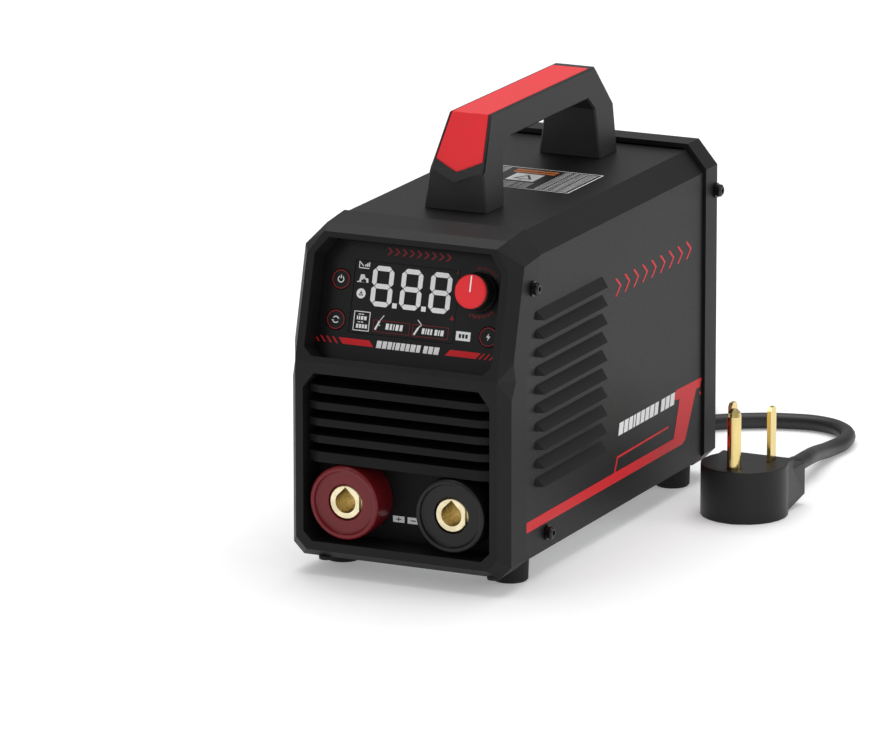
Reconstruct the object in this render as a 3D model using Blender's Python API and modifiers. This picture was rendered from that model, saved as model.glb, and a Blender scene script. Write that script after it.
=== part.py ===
"""Stick welding inverter: a portable arc welding power source with its mains cord and plug.

Blender script, in metres, +Z up. The front faces -Y and +X is the operator's right.
The origin lies on the floor under the middle of the case.
"""
import math

import bmesh
import bpy
from mathutils import Matrix, Vector

# ---------------------------------------------------------------- driving dimensions
BODY_WIDTH = 0.140          # across the bezel and the rear frame
BODY_DEPTH = 0.311          # front rim to back of the rear frame
BODY_BOTTOM = 0.010         # underside of the bezel above the floor
KINK_HEIGHT = 0.1282        # where the front face starts to lean back
FACE_TILT = math.radians(15.25)
SHELL_TOP = 0.2060          # top of the sheet cover
BEZEL_STEP = 0.00135        # bezel's rear top edge above the cover
REAR_STEP = 0.0038          # rear frame above the cover
GAP = 0.0003                # between pieces that touch

# Bezel
BEZEL_LENGTH = 0.0292       # rim to rear edge, square to the face
BEVEL_DEPTH = 0.0082
BEVEL_IN = 0.0055
BEZEL_WALL = 0.0030
RIM_TOP_CUT = (0.0096, 0.0136)
OUTER_TOP_CUT = (0.0124, 0.0138)
BOTTOM_CUT = 0.0067
TOP_RISE_AT_BEVEL = 0.0055  # how far the top climbs above the rim, at the bevel and at the back
TOP_RISE_AT_BACK = 0.0138
KINK_FACET = 0.0120         # length and depth of the small facets beside the kink
KINK_FACET_DEPTH = 0.0060
SIDE_LAND = 0.0103           # bezel outline to the side of its openings
LOWER_OPENING = (0.0107, 0.1012)      # above the bezel's underside, and height
LOWER_OPENING_CUTS = (0.0055, 0.0080)
UPPER_OPENING = (0.0034, 0.0730)      # rise along the tilted face
UPPER_OPENING_CUTS = (0.0050, 0.0090)
GRILLE_LEDGE = 0.0214
PANEL_LEDGE = 0.0150

# Grille
GRILLE_PLATE = 0.0025
BLADE_TOPS = (0.1040, 0.0940, 0.0841, 0.0740)   # above the bezel's underside
BLADE_THICKNESS = 0.0047
BLADE_SWEEP = 0.0080         # how far in from each end, and how deep, a blade is swept back
BLADE_SWEEP_DEPTH = 0.0030
BEAM_TOP = 0.0642
BEAM_THICKNESS = 0.0064
BLADE_FRONT = 0.0030
SLOT_MARGIN = 0.0060

# Sheet cover, tray and rear
SHEET = 0.0012
SHELL_INSET = 0.0018         # cover inside the bezel outline, per side
SHELL_BOTTOM = 0.0150
SHELL_CUT = (0.0112, 0.0130)
TRAY_SHEET = 0.0015
TRAY_WALL_HEIGHT = 0.0220
REAR_FRAME_LENGTH = 0.0250
REAR_CUT = (0.0123, 0.0147)
REAR_BOTTOM_CUT = 0.0080
REAR_LIP = 0.0060
REAR_LIP_WIDTH = 0.0090
REAR_FRAME_WALL = 0.0030

# Louvres
LOUVRE_COUNT = 10
LOUVRE_SETBACK = 0.0455     # behind the front rim
LOUVRE_LENGTH = 0.0930
LOUVRE_DROP = 0.0440        # upper edge of the first louvre below the top of the cover
LOUVRE_PITCH = 0.01107
LOUVRE_HEIGHT = 0.0064
LOUVRE_OUT = 0.0046
LOUVRE_END = 0.0020         # length of the sloping end facets

# Handle
HANDLE_RISE = 0.0545        # above the cover
HANDLE_BASE_HALF = 0.0204   # half widths; the sides lean in between them
HANDLE_TOP_HALF = 0.0134
HANDLE_SETBACK = 0.0810      # front of the base behind the front rim
HANDLE_REAR_SETBACK = 0.0455
HANDLE_GRIP = 0.0170        # thickness of the bar
HANDLE_FRONT_LEG = 0.0226   # along Y at the base
HANDLE_REAR_LEG = 0.0240
HANDLE_FRONT_KINK = (0.0012, 0.0225)    # behind the front of the base, and above the cover
HANDLE_REAR_KINK = (0.0026, 0.0290)     # behind the rear of the base, and above the cover
HANDLE_FRONT_CORNER = 0.0205            # top corner behind the front of the base
HANDLE_REAR_CORNER = 0.0170             # top corner ahead of the rear of the base
HANDLE_EDGE = 0.0010
INLAY_BORDER = 0.0014
INLAY_DEPTH = 0.0020
INLAY_REAR = 0.0060
INLAY_TIP = 0.0002          # of the point, along Y behind the front kink
INLAY_POINT = 0.0034        # length of the point along Y
BROW_SIDE = (0.0172, 0.0240)    # half width of the brow under the inlay, and its sides' height
BROW_TIP = 0.0175           # height of its point; both heights are above the cover
BROW_PROUD = 0.00012        # the point stands this far out of the slope

# Output sockets
SOCKET_SPACING = 0.0680
SOCKET_HEIGHT = 0.0454
COLLAR_RADIUS = 0.0220
COLLAR_FRONT = 0.0004
COLLAR_RIM = 0.0031
COLLAR_RECESS = 0.0026
INSERT_FLAT = 0.0018        # flat on the insert's outer side, at its front end
BUSH_RADIUS = 0.0130
BUSH_END = 0.0360
INSERT_RADIUS = 0.0106
INSERT_BORE = 0.0065
INSERT_BORE_DEPTH = 0.0280
KEY_TOP = 0.0092             # point of the keyway above the bore's centre
KEY_DEPTH = 0.0100
STUD_RADIUS = 0.0040
STUD_LENGTH = 0.0140
SOCKET_NUT_WIDTH = 0.0360
SOCKET_NUT_THICKNESS = 0.0060

# Control panel
PANEL_THICKNESS = 0.0020
DIAL_AT = (0.0404, 0.0506)  # x and rise on the tilted face
DIAL_RADIUS = 0.0103
DIAL_HEIGHT = 0.0135
DIAL_CAP = 0.0020
DIAL_SHAFT = 0.0030
BUTTON_RADIUS = 0.0060
BUTTON_TRAVEL = 0.0008
BUTTONS = {
    "power_button": (-0.0480, 0.0496),
    "mode_button": (-0.0485, 0.0260),
    "vrd_button": (0.0492, 0.0257),
}
WINDOW = (-0.0400, 0.0270, 0.0195, 0.0620)
BOARD_SETBACK = 0.0065      # panel back to display board front
BOARD_THICKNESS = 0.0016

# Electronics on the tray
BOARD_SIDE_MARGIN = 0.0140   # case outline to the board, per side
BOARD_END_MARGIN = 0.0605
MAIN_BOARD_HEIGHT = 0.0240
HEATSINK_FINS = 8
HEATSINK_HEIGHT = 0.0700
HEATSINK_LENGTH = 0.0850
HEATSINK_WIDTH = 0.0300
HEATSINK_INNER = 0.0220
CORE_SIZE = (0.0500, 0.0200, 0.0420)
CORE_LEG = 0.0140
CORE_WINDOW = 0.0105
CAPACITOR_RADIUS = 0.0150
CAPACITOR_HEIGHT = 0.0450
CHOKE_OUTER = 0.0170
CHOKE_INNER = 0.0075
CHOKE_HEIGHT = 0.0160
BUSBAR_WIDTH = 0.0140
BUSBAR_THICKNESS = 0.0025

# Fan and rear fittings
FAN_HEIGHT = 0.1280
FAN_SIZE = 0.0920
FAN_DEPTH = 0.0250
FAN_BORE = 0.0440
FAN_BLADE_RADIUS = 0.0428
FAN_HUB = 0.0190
FAN_BLADES = 7
FAN_SHAFT = 0.0020
FAN_SLOT_PITCH = 0.0075
FAN_SLOT_HALF = 0.0022
FAN_SLOT_SHORTEST = 0.0080
FAN_RIB_HALF = 0.0018
SWITCH_AT = (-0.0380, 0.0560)
SWITCH_SIZE = (0.0200, 0.0260)
ROCKER_TILT = math.radians(7)
GLAND_AT = (0.0100, 0.0560)
GLAND_HEX = 0.0260
GLAND_LENGTH = 0.0280

# Feet and screws
FOOT_RADIUS = 0.0110
FOOT_INSET = 0.0160
FOOT_SETBACK = 0.0412        # behind the front rim
FOOT_REAR_GAP = 0.0117       # ahead of the rear frame
SCREW_HEAD = 0.0038
SCREW_HEAD_HEIGHT = 0.0024
SCREW_SOCKET = 0.0016
WASHER = (0.0046, 0.0008)    # radius and thickness of the flat washer
SPRING_WASHER = (0.0034, 0.0010)
SCREW_SHANK = 0.0018
SCREW_LENGTH = 0.0080
BEZEL_SCREW_SETBACK = 0.0370
BEZEL_SCREW_DROP = 0.0295
REAR_SCREW_SETBACK = 0.0103
REAR_SCREW_DROP = 0.0266
TRAY_SCREW_SETBACK = 0.0611
TRAY_SCREW_HEIGHT = 0.0250

# Mains cord and plug
CORD_DIAMETER = 0.0100
COIL_CENTRE = (-0.0580, 0.2500)
COIL_INNER_TURN = 0.0500
COIL_LAYERS = 2
LEAD_POINTS = (
    (0.0100, 0.1779, 0.0560), (0.0102, 0.1930, 0.0550), (0.0120, 0.2080, 0.0495), (0.0150, 0.2270, 0.0370),
    (0.0150, 0.2480, 0.0250), (0.0115, 0.2680, 0.0175), (0.0030, 0.2858, 0.0152),
)
TAIL_POINTS = (
    (0.0097, 0.2329, 0.0051), (0.0240, 0.2470, 0.0051), (0.0430, 0.2610, 0.0051),
    (0.0660, 0.2705, 0.0051), (0.0890, 0.2725, 0.0051), (0.1075, 0.2620, 0.0051),
    (0.1165, 0.2420, 0.0051), (0.1165, 0.2150, 0.0060), (0.1190, 0.1880, 0.0100),
    (0.1225, 0.1640, 0.0130), (0.1225, 0.1560, 0.0130), (0.1225, 0.1480, 0.0130),
)
PLUG_CENTRE = (0.1200, 0.0760)
PLUG_RADIUS = 0.0265
PLUG_HEIGHT = 0.0320
PLUG_NECK = (0.0240, 0.0370)   # half width of the neck and its reach behind the centre
PLUG_EDGE = 0.0018
PLUG_NECK_TOP = 0.0260
PLUG_NECK_UNDER = 0.0060
RELIEF_ROOT = 0.0072
RELIEF_CLEARANCE = 0.0006    # plug relief to the end of the cord, square to Y
PIN_SPACING = 0.0254
PIN_ROW = 0.0110
GROUND_ROW = -0.0160
BLADE_SIZE = (0.0024, 0.0085, 0.0330)
GROUND_RADIUS = 0.0042
GROUND_LENGTH = 0.0370

# ---------------------------------------------------------------- values that follow
HALF = BODY_WIDTH / 2
FRONT_Y = -BODY_DEPTH / 2
REAR_Y = BODY_DEPTH / 2
REAR_TOP = SHELL_TOP + REAR_STEP
FRONT_TOP_RISE = (SHELL_TOP + BEZEL_STEP - KINK_HEIGHT
                  + math.sin(FACE_TILT) * BEZEL_LENGTH) / math.cos(FACE_TILT) - TOP_RISE_AT_BACK
OPENING_HALF = HALF - SIDE_LAND
SHELL_HALF = HALF - SHELL_INSET
LOUVRE_START = FRONT_Y + LOUVRE_SETBACK
LOUVRE_TOP = SHELL_TOP - LOUVRE_DROP
HANDLE_TOP = SHELL_TOP + HANDLE_RISE
HANDLE_FRONT = FRONT_Y + HANDLE_SETBACK
HANDLE_REAR = REAR_Y - HANDLE_REAR_SETBACK
CAVITY_HALF = HALF - BEZEL_WALL
TRAY_UNDERSIDE = BODY_BOTTOM + BEZEL_WALL + GAP
CAVITY_TOP_RISE = FRONT_TOP_RISE + BEZEL_WALL
REAR_PANEL_FRONT = REAR_Y - REAR_LIP - GAP - SHEET
FRAME_FRONT = REAR_Y - REAR_FRAME_LENGTH
MAIN_BOARD = (HALF - BOARD_SIDE_MARGIN, FRONT_Y + BOARD_END_MARGIN, REAR_Y - BOARD_END_MARGIN)
FOOT_SIDE = HALF - FOOT_INSET
FOOT_FRONT = FRONT_Y + FOOT_SETBACK
FOOT_REAR = FRAME_FRONT - FOOT_REAR_GAP
BEZEL_SCREW_AT = (FRONT_Y + BEZEL_SCREW_SETBACK, SHELL_TOP - BEZEL_SCREW_DROP)
REAR_SCREW_AT = (REAR_Y - REAR_SCREW_SETBACK, SHELL_TOP - REAR_SCREW_DROP)
TRAY_SCREW_AT = (FRONT_Y + TRAY_SCREW_SETBACK, TRAY_SCREW_HEIGHT)
SHELL_FRONT = BEZEL_LENGTH + GAP
PLATE_FRONT = GRILLE_LEDGE + GAP
PANEL_FRONT = PANEL_LEDGE + GAP
BOARD_FRONT = PANEL_FRONT + PANEL_THICKNESS + BOARD_SETBACK
COIL_OUTER = COIL_INNER_TURN + (COIL_LAYERS - 0.5) * CORD_DIAMETER
COIL_INNER = COIL_INNER_TURN - 0.5 * CORD_DIAMETER
ROUND = 24

# ---------------------------------------------------------------- helpers


def clear_scene():
    for old in list(bpy.data.objects):
        bpy.data.objects.remove(old, do_unlink=True)


def new_collection(name):
    collection = bpy.data.collections.new(name)
    bpy.context.scene.collection.children.link(collection)
    return collection


clear_scene()
PARTS = new_collection("stick_welding_inverter")
CUTTERS = new_collection("cutters")


def material(name, colour, roughness, metallic=0.0):
    made = bpy.data.materials.new(name)
    made.use_nodes = True
    shader = made.node_tree.nodes["Principled BSDF"]
    shader.inputs["Base Color"].default_value = (*colour, 1.0)
    shader.inputs["Roughness"].default_value = roughness
    shader.inputs["Metallic"].default_value = metallic
    return made


BLACK_PLASTIC = material("black_plastic", (0.026, 0.026, 0.028), 0.55)
BLACK_PAINT = material("black_paint", (0.030, 0.030, 0.032), 0.50)
PANEL_BLACK = material("panel_black", (0.012, 0.012, 0.013), 0.25)
RED_PLASTIC = material("red_plastic", (0.75, 0.035, 0.060), 0.45)
RED_SOCKET = material("red_socket", (0.20, 0.010, 0.014), 0.30)
BRASS = material("brass", (0.72, 0.52, 0.20), 0.30, 1.0)
COPPER = material("copper", (0.72, 0.32, 0.18), 0.35, 1.0)
STEEL = material("steel", (0.55, 0.55, 0.56), 0.35, 1.0)
ALUMINIUM = material("aluminium", (0.70, 0.71, 0.72), 0.40, 1.0)
RUBBER = material("rubber", (0.020, 0.020, 0.020), 0.85)
BOARD_GREEN = material("board_green", (0.020, 0.120, 0.050), 0.50)
FERRITE = material("ferrite", (0.060, 0.060, 0.065), 0.70)
WINDING = material("winding", (0.55, 0.16, 0.05), 0.45)
CAPACITOR_SLEEVE = material("capacitor_sleeve", (0.020, 0.030, 0.090), 0.35)
CLEAR = material("clear_window", (0.040, 0.040, 0.045), 0.08)


def add_object(name, mesh, surface=None):
    """Puts a mesh in the parts, or among the cutters when it has no material."""
    made = bpy.data.objects.new(name, mesh)
    if surface is None:
        CUTTERS.objects.link(made)
        made.hide_render = True
        made.display_type = "WIRE"
    else:
        PARTS.objects.link(made)
        mesh.materials.append(surface)
    return made


def mesh_from(bm, name):
    bmesh.ops.recalc_face_normals(bm, faces=bm.faces)
    mesh = bpy.data.meshes.new(name)
    bm.to_mesh(mesh)
    bm.free()
    return mesh


def boxes(name, limits, surface=None, turn=None):
    """One object of boxes, each given as (x0, x1, y0, y1, z0, z1)."""
    bm = bmesh.new()
    for x0, x1, y0, y1, z0, z1 in limits:
        size = Matrix.Diagonal((x1 - x0, y1 - y0, z1 - z0, 1))
        middle = Matrix.Translation(((x0 + x1) / 2, (y0 + y1) / 2, (z0 + z1) / 2))
        bmesh.ops.create_cube(bm, size=1.0, matrix=middle @ size)
    if turn is not None:
        bmesh.ops.transform(bm, matrix=turn, verts=bm.verts)
    return add_object(name, mesh_from(bm, name), surface)


def outline_mesh(name, rings, thickness):
    """A flat outline, with any holes, as a solid centred on its own plane."""
    curve = bpy.data.curves.new(name, "CURVE")
    curve.dimensions = "2D"
    curve.fill_mode = "BOTH"
    curve.extrude = thickness / 2
    for ring in rings:
        spline = curve.splines.new("POLY")
        spline.points.add(len(ring) - 1)
        for point, (u, v) in zip(spline.points, ring):
            point.co = (u, v, 0, 1)
        spline.use_cyclic_u = True
    holder = bpy.data.objects.new(name, curve)
    CUTTERS.objects.link(holder)
    evaluated = holder.evaluated_get(bpy.context.evaluated_depsgraph_get())
    mesh = bpy.data.meshes.new_from_object(evaluated)
    bpy.data.objects.remove(holder)
    bm = bmesh.new()
    bm.from_mesh(mesh)
    bmesh.ops.remove_doubles(bm, verts=bm.verts, dist=0.00001)
    bpy.data.meshes.remove(mesh)
    return mesh_from(bm, name)


def axes(x_axis, y_axis, origin):
    """Matrix that lays an outline's u and v on the given axes, its thickness across them."""
    u = Vector(x_axis).normalized()
    v = Vector(y_axis).normalized()
    w = u.cross(v)
    turn = Matrix((u, v, w)).transposed().to_4x4()
    return Matrix.Translation(origin) @ turn


def prism(name, rings, matrix, thickness, surface=None):
    """Outline laid by a matrix, from the matrix's plane outwards along its third axis."""
    mesh = outline_mesh(name, rings, thickness)
    mesh.transform(matrix @ Matrix.Translation((0, 0, thickness / 2)))
    return add_object(name, mesh, surface)


def along_y(y):
    """Outline given in x and z; its thickness runs back from y."""
    return axes((1, 0, 0), (0, 0, 1), (0, y, 0)) @ Matrix.Diagonal((1, 1, -1, 1))


def across_x(x):
    """Outline given in y and z; its thickness runs right from x."""
    return axes((0, 1, 0), (0, 0, 1), (x, 0, 0))


def flip_if_needed(obj):
    bm = bmesh.new()
    bm.from_mesh(obj.data)
    bmesh.ops.recalc_face_normals(bm, faces=bm.faces)
    bm.to_mesh(obj.data)
    bm.free()
    return obj


def turned(name, profile, surface=None, steps=ROUND, place=None):
    """Profile of (radius, height) points, run down its outer side, turned about Z."""
    bm = bmesh.new()
    verts = [bm.verts.new((radius, 0, height)) for radius, height in profile]
    for first, second in zip(verts, verts[1:]):
        bm.edges.new((first, second))
    if min(radius for radius, _ in profile) > 0:
        bm.edges.new((verts[-1], verts[0]))
    bmesh.ops.spin(
        bm, geom=bm.verts[:] + bm.edges[:], cent=(0, 0, 0), axis=(0, 0, 1),
        angle=math.tau, steps=steps, use_merge=True,
    )
    bmesh.ops.remove_doubles(bm, verts=bm.verts, dist=0.00001)
    mesh = mesh_from(bm, name)
    if place is not None:
        mesh.transform(place)
    mesh.shade_smooth()
    mesh.set_sharp_from_angle(angle=math.radians(35))
    return add_object(name, mesh, surface)


def cylinder(name, radius, length, place, surface=None, steps=ROUND):
    """Round bar from the origin of its matrix along the matrix's third axis."""
    bm = bmesh.new()
    bmesh.ops.create_cone(
        bm, cap_ends=True, segments=steps, radius1=radius, radius2=radius, depth=length,
        matrix=place @ Matrix.Translation((0, 0, length / 2)),
    )
    return add_object(name, mesh_from(bm, name), surface)


def boolean(target, other, operation="DIFFERENCE"):
    step = target.modifiers.new(other.name, "BOOLEAN")
    step.operation = operation
    step.object = other
    step.solver = "EXACT"
    return target


def toward(direction, origin):
    """Matrix whose third axis points along a direction."""
    turn = Vector(direction).to_track_quat("Z", "Y").to_matrix().to_4x4()
    return Matrix.Translation(origin) @ turn


def on_face(x, rise, depth):
    """Point of the front, by its rise up the face from the kink and its depth behind the rim."""
    if rise <= 0:
        return Vector((x, FRONT_Y + depth, KINK_HEIGHT + rise))
    back = math.sin(FACE_TILT) * rise + math.cos(FACE_TILT) * depth
    up = math.cos(FACE_TILT) * rise - math.sin(FACE_TILT) * depth
    return Vector((x, FRONT_Y + back, KINK_HEIGHT + up))


def face_matrix(x=0.0, rise=0.0, depth=0.0):
    """Frame on the tilted face: x right, y up the face, z out towards the operator."""
    up = (0, math.sin(FACE_TILT), math.cos(FACE_TILT))
    back = math.sin(FACE_TILT) * rise + math.cos(FACE_TILT) * depth
    climb = math.cos(FACE_TILT) * rise - math.sin(FACE_TILT) * depth
    return axes((1, 0, 0), up, (x, FRONT_Y + back, KINK_HEIGHT + climb))


def cut_rectangle(half, bottom, top, bottom_cut, top_cut):
    """Eight-sided outline with cut corners; each cut is (across, up)."""
    return [
        (-half + bottom_cut[0], bottom), (half - bottom_cut[0], bottom),
        (half, bottom + bottom_cut[1]), (half, top - top_cut[1]),
        (half - top_cut[0], top), (-half + top_cut[0], top),
        (-half, top - top_cut[1]), (-half, bottom + bottom_cut[1]),
    ]


def empty_at(name, matrix):
    holder = bpy.data.objects.new(name, None)
    holder.empty_display_size = 0.01
    holder.matrix_world = matrix
    PARTS.objects.link(holder)
    return holder


def hang_on(holder, *pieces):
    """Parents pieces, whose meshes are in world places, to a joint's empty."""
    bpy.context.view_layer.update()
    for piece in pieces:
        piece.data.transform(holder.matrix_world.inverted())
        piece.parent = holder


# ---------------------------------------------------------------- bezel and grille


def bezel_section(depth, half, bottom, top_rise, bottom_cut, top_cut, kink_depth):
    """One bent loop of the bezel's outside, from its bottom left corner round to the left."""
    kink_drop = kink_depth * math.tan(FACE_TILT / 2)
    facet = KINK_FACET
    low = bottom - KINK_HEIGHT
    shoulder = top_rise - top_cut[1]
    right = [
        on_face(half - bottom_cut, low, depth), on_face(half, low + bottom_cut, depth),
        on_face(half, -facet, depth), Vector((half, FRONT_Y + kink_depth, KINK_HEIGHT - kink_drop)),
        on_face(half, facet, depth), on_face(half, shoulder, depth),
        on_face(half - top_cut[0], top_rise, depth),
    ]
    left = [Vector((-point.x, point.y, point.z)) for point in reversed(right)]
    return right + left


def bezel_solid():
    rim_half = HALF - BEVEL_IN
    deep_kink = BEVEL_DEPTH + KINK_FACET_DEPTH
    sections = [
        bezel_section(0, rim_half, BODY_BOTTOM + BEVEL_IN, FRONT_TOP_RISE, BOTTOM_CUT,
                      RIM_TOP_CUT, 0),
        bezel_section(BEVEL_DEPTH, HALF, BODY_BOTTOM, FRONT_TOP_RISE + TOP_RISE_AT_BEVEL,
                      BOTTOM_CUT, OUTER_TOP_CUT, deep_kink),
        bezel_section(BEZEL_LENGTH, HALF, BODY_BOTTOM, FRONT_TOP_RISE + TOP_RISE_AT_BACK,
                      BOTTOM_CUT, OUTER_TOP_CUT, BEZEL_LENGTH),
    ]
    bm = bmesh.new()
    rings = [[bm.verts.new(point) for point in section] for section in sections]
    count = len(rings[0])
    for near, far in zip(rings, rings[1:]):
        for i in range(count):
            j = (i + 1) % count
            bm.faces.new((near[i], near[j], far[j], far[i]))
    bmesh.ops.triangulate(bm, faces=bm.faces)
    for ring in (rings[0], rings[-1]):
        cap_bent_ring(bm, ring)
    return add_object("front_bezel", mesh_from(bm, "front_bezel"), BLACK_PLASTIC)


def cap_bent_ring(bm, ring):
    """Closes a bent loop with an upright face below its kink and a leaning one above."""
    kink = 3
    last = len(ring) - 1
    bm.faces.new(ring[:kink + 1] + ring[last - kink:])
    bm.faces.new(ring[kink:last - kink + 1])


def lower_opening(inset):
    low = BODY_BOTTOM + LOWER_OPENING[0]
    high = low + LOWER_OPENING[1] - 0.0004
    small, large = LOWER_OPENING_CUTS
    return cut_rectangle(OPENING_HALF - inset, low + inset, high - inset,
                         (small, small), (large - 0.001, large + 0.001))


def opening_half_at(height):
    """Half width of the lower opening, which its cut corners narrow near the top."""
    across, up = LOWER_OPENING_CUTS[1] - 0.001, LOWER_OPENING_CUTS[1] + 0.001
    shoulder = BODY_BOTTOM + LOWER_OPENING[0] + LOWER_OPENING[1] - 0.0004 - up
    return OPENING_HALF - max(0.0, height - shoulder) * across / up


def upper_opening(inset):
    low, high = UPPER_OPENING
    small, large = UPPER_OPENING_CUTS
    return cut_rectangle(OPENING_HALF - inset, low + inset, high - inset,
                         (small, small), (large - 0.001, large + 0.001))


def upper_cavity(inset):
    return cut_rectangle(CAVITY_HALF - inset, 0.0006 + inset, CAVITY_TOP_RISE - inset,
                         (0.001, 0.001), OUTER_TOP_CUT)


def make_bezel():
    bezel = bezel_solid()
    reach = BEZEL_LENGTH + 0.030
    front = prism("lower_opening_cut", [lower_opening(0)], along_y(FRONT_Y - 0.01), reach)
    boolean(bezel, flip_if_needed(front))
    into = face_matrix(depth=reach)
    boolean(bezel, prism("upper_opening_cut", [upper_opening(0)], into, reach + 0.01))
    behind = PANEL_LEDGE
    boolean(bezel, prism("upper_cavity_cut", [upper_cavity(0)], into, reach - behind))
    low_hall = cut_rectangle(CAVITY_HALF, BODY_BOTTOM + BEZEL_WALL, KINK_HEIGHT + 0.010,
                             (0.004, 0.004), (0.001, 0.001))
    hall = prism("lower_cavity_cut", [low_hall], along_y(FRONT_Y + GRILLE_LEDGE), reach)
    boolean(bezel, flip_if_needed(hall))
    return bezel


def make_grille():
    plate_top = KINK_HEIGHT - math.sin(FACE_TILT) * (PLATE_FRONT + GRILLE_PLATE) + 0.001
    outline = cut_rectangle(CAVITY_HALF - GAP, BODY_BOTTOM + BEZEL_WALL + GAP, plate_top,
                            (0.0042, 0.0042), (0.001, 0.001))
    grille = prism("front_grille", [outline], along_y(FRONT_Y + PLATE_FRONT), GRILLE_PLATE,
                   BLACK_PLASTIC)
    flip_if_needed(grille)
    tops = [BODY_BOTTOM + top for top in BLADE_TOPS]
    fins = [(top, BLADE_THICKNESS) for top in tops]
    fins.append((BODY_BOTTOM + BEAM_TOP, BEAM_THICKNESS))
    depth = PLATE_FRONT - BLADE_FRONT
    front = FRONT_Y + BLADE_FRONT
    for number, (top, thickness) in enumerate(fins):
        half = opening_half_at(top) - GAP
        plan = [
            (-half + BLADE_SWEEP, front), (half - BLADE_SWEEP, front),
            (half, front + BLADE_SWEEP_DEPTH), (half, front + depth + 0.001),
            (-half, front + depth + 0.001), (-half, front + BLADE_SWEEP_DEPTH),
        ]
        lay = axes((1, 0, 0), (0, 1, 0), (0, 0, top - thickness))
        boolean(grille, prism(f"grille_fin_{number}", [plan], lay, thickness), "UNION")
    limits = [BODY_BOTTOM + LOWER_OPENING[0] + LOWER_OPENING[1] - 0.001] + tops
    floors = tops + [BODY_BOTTOM + BEAM_TOP]
    slots = []
    for number, (high, low) in enumerate(zip(limits, floors)):
        ceiling = high if number == 0 else high - BLADE_THICKNESS
        slot_half = OPENING_HALF - SLOT_MARGIN
        for side in (-1, 1):
            near, far = sorted((side * 0.002, side * slot_half))
            slots.append((near, far, FRONT_Y + PLATE_FRONT - 0.001,
                          FRONT_Y + PLATE_FRONT + GRILLE_PLATE + 0.001,
                          low + 0.0006, ceiling - 0.0006))
    boolean(grille, boxes("grille_slots", slots))
    for side in (-1, 1):
        hole = cylinder("socket_hole", BUSH_RADIUS + GAP, 0.010,
                        toward((0, 1, 0), (side * SOCKET_SPACING / 2,
                                           FRONT_Y + PLATE_FRONT - 0.004, SOCKET_HEIGHT)))
        boolean(grille, hole)
    return grille


# ---------------------------------------------------------------- output sockets


def make_socket(sign, side, surface):
    """Insulated collar with a brass insert, clamped to the grille plate by a nut."""
    base = toward((0, -1, 0), (side * SOCKET_SPACING / 2, FRONT_Y + PLATE_FRONT, SOCKET_HEIGHT))
    front = PLATE_FRONT - COLLAR_FRONT
    floor = front - COLLAR_RECESS
    bore = INSERT_RADIUS + GAP
    end = PLATE_FRONT - BUSH_END
    lip = COLLAR_RADIUS - COLLAR_RIM
    collar = [
        (bore, floor), (lip - 0.0008, floor), (lip, floor + 0.0008), (lip, front - 0.0006),
        (lip + 0.0006, front), (COLLAR_RADIUS - 0.0012, front),
        (COLLAR_RADIUS, front - 0.0012), (COLLAR_RADIUS, GAP), (BUSH_RADIUS, GAP),
        (BUSH_RADIUS, end), (bore, end),
    ]
    turned(f"socket_collar_{sign}", collar, surface, 36, base)
    tail = end - GAP
    insert = [
        (0, floor - INSERT_BORE_DEPTH), (INSERT_BORE, floor - INSERT_BORE_DEPTH),
        (INSERT_BORE, floor - 0.0003), (INSERT_RADIUS - 0.0010, floor - 0.0003),
        (INSERT_RADIUS, floor - 0.0013), (INSERT_RADIUS, tail),
        (INSERT_RADIUS + 0.0020, tail), (INSERT_RADIUS + 0.0020, tail - 0.0030),
        (STUD_RADIUS, tail - 0.0030), (STUD_RADIUS, tail - 0.0030 - STUD_LENGTH),
        (0, tail - 0.0030 - STUD_LENGTH),
    ]
    brass = turned(f"socket_insert_{sign}", insert, BRASS, ROUND, base)
    cx = side * SOCKET_SPACING / 2
    y_front = FRONT_Y + PLATE_FRONT - floor
    side_x, side_z = 0.69 * INSERT_BORE, SOCKET_HEIGHT + 0.69 * INSERT_BORE
    key = [(cx, SOCKET_HEIGHT), (cx + side_x, side_z), (cx, SOCKET_HEIGHT + KEY_TOP),
           (cx - side_x, side_z)]
    key_cut = prism(f"key_{sign}", [key], along_y(y_front - 0.002), 0.002 + KEY_DEPTH)
    boolean(brass, flip_if_needed(key_cut))
    flat = (cx + INSERT_RADIUS - INSERT_FLAT, cx + INSERT_RADIUS + 0.002, y_front - 0.002,
            y_front + 0.004, SOCKET_HEIGHT - INSERT_RADIUS, SOCKET_HEIGHT + INSERT_RADIUS)
    boolean(brass, boxes(f"insert_flat_{sign}", [flat]))
    ring = []
    for corner in range(6):
        angle = math.radians(60 * corner)
        reach = SOCKET_NUT_WIDTH / 2 / math.cos(math.radians(30))
        ring.append((reach * math.cos(angle), reach * math.sin(angle)))
    hole = [((BUSH_RADIUS + GAP) * math.cos(math.tau * i / ROUND),
             (BUSH_RADIUS + GAP) * math.sin(math.tau * i / ROUND)) for i in range(ROUND)]
    seat = GRILLE_PLATE + GAP
    lay = base @ Matrix.Translation((0, 0, -seat - SOCKET_NUT_THICKNESS))
    prism(f"socket_nut_{sign}", [ring, hole], lay, SOCKET_NUT_THICKNESS, BLACK_PLASTIC)
    make_busbar(sign, side)


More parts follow.
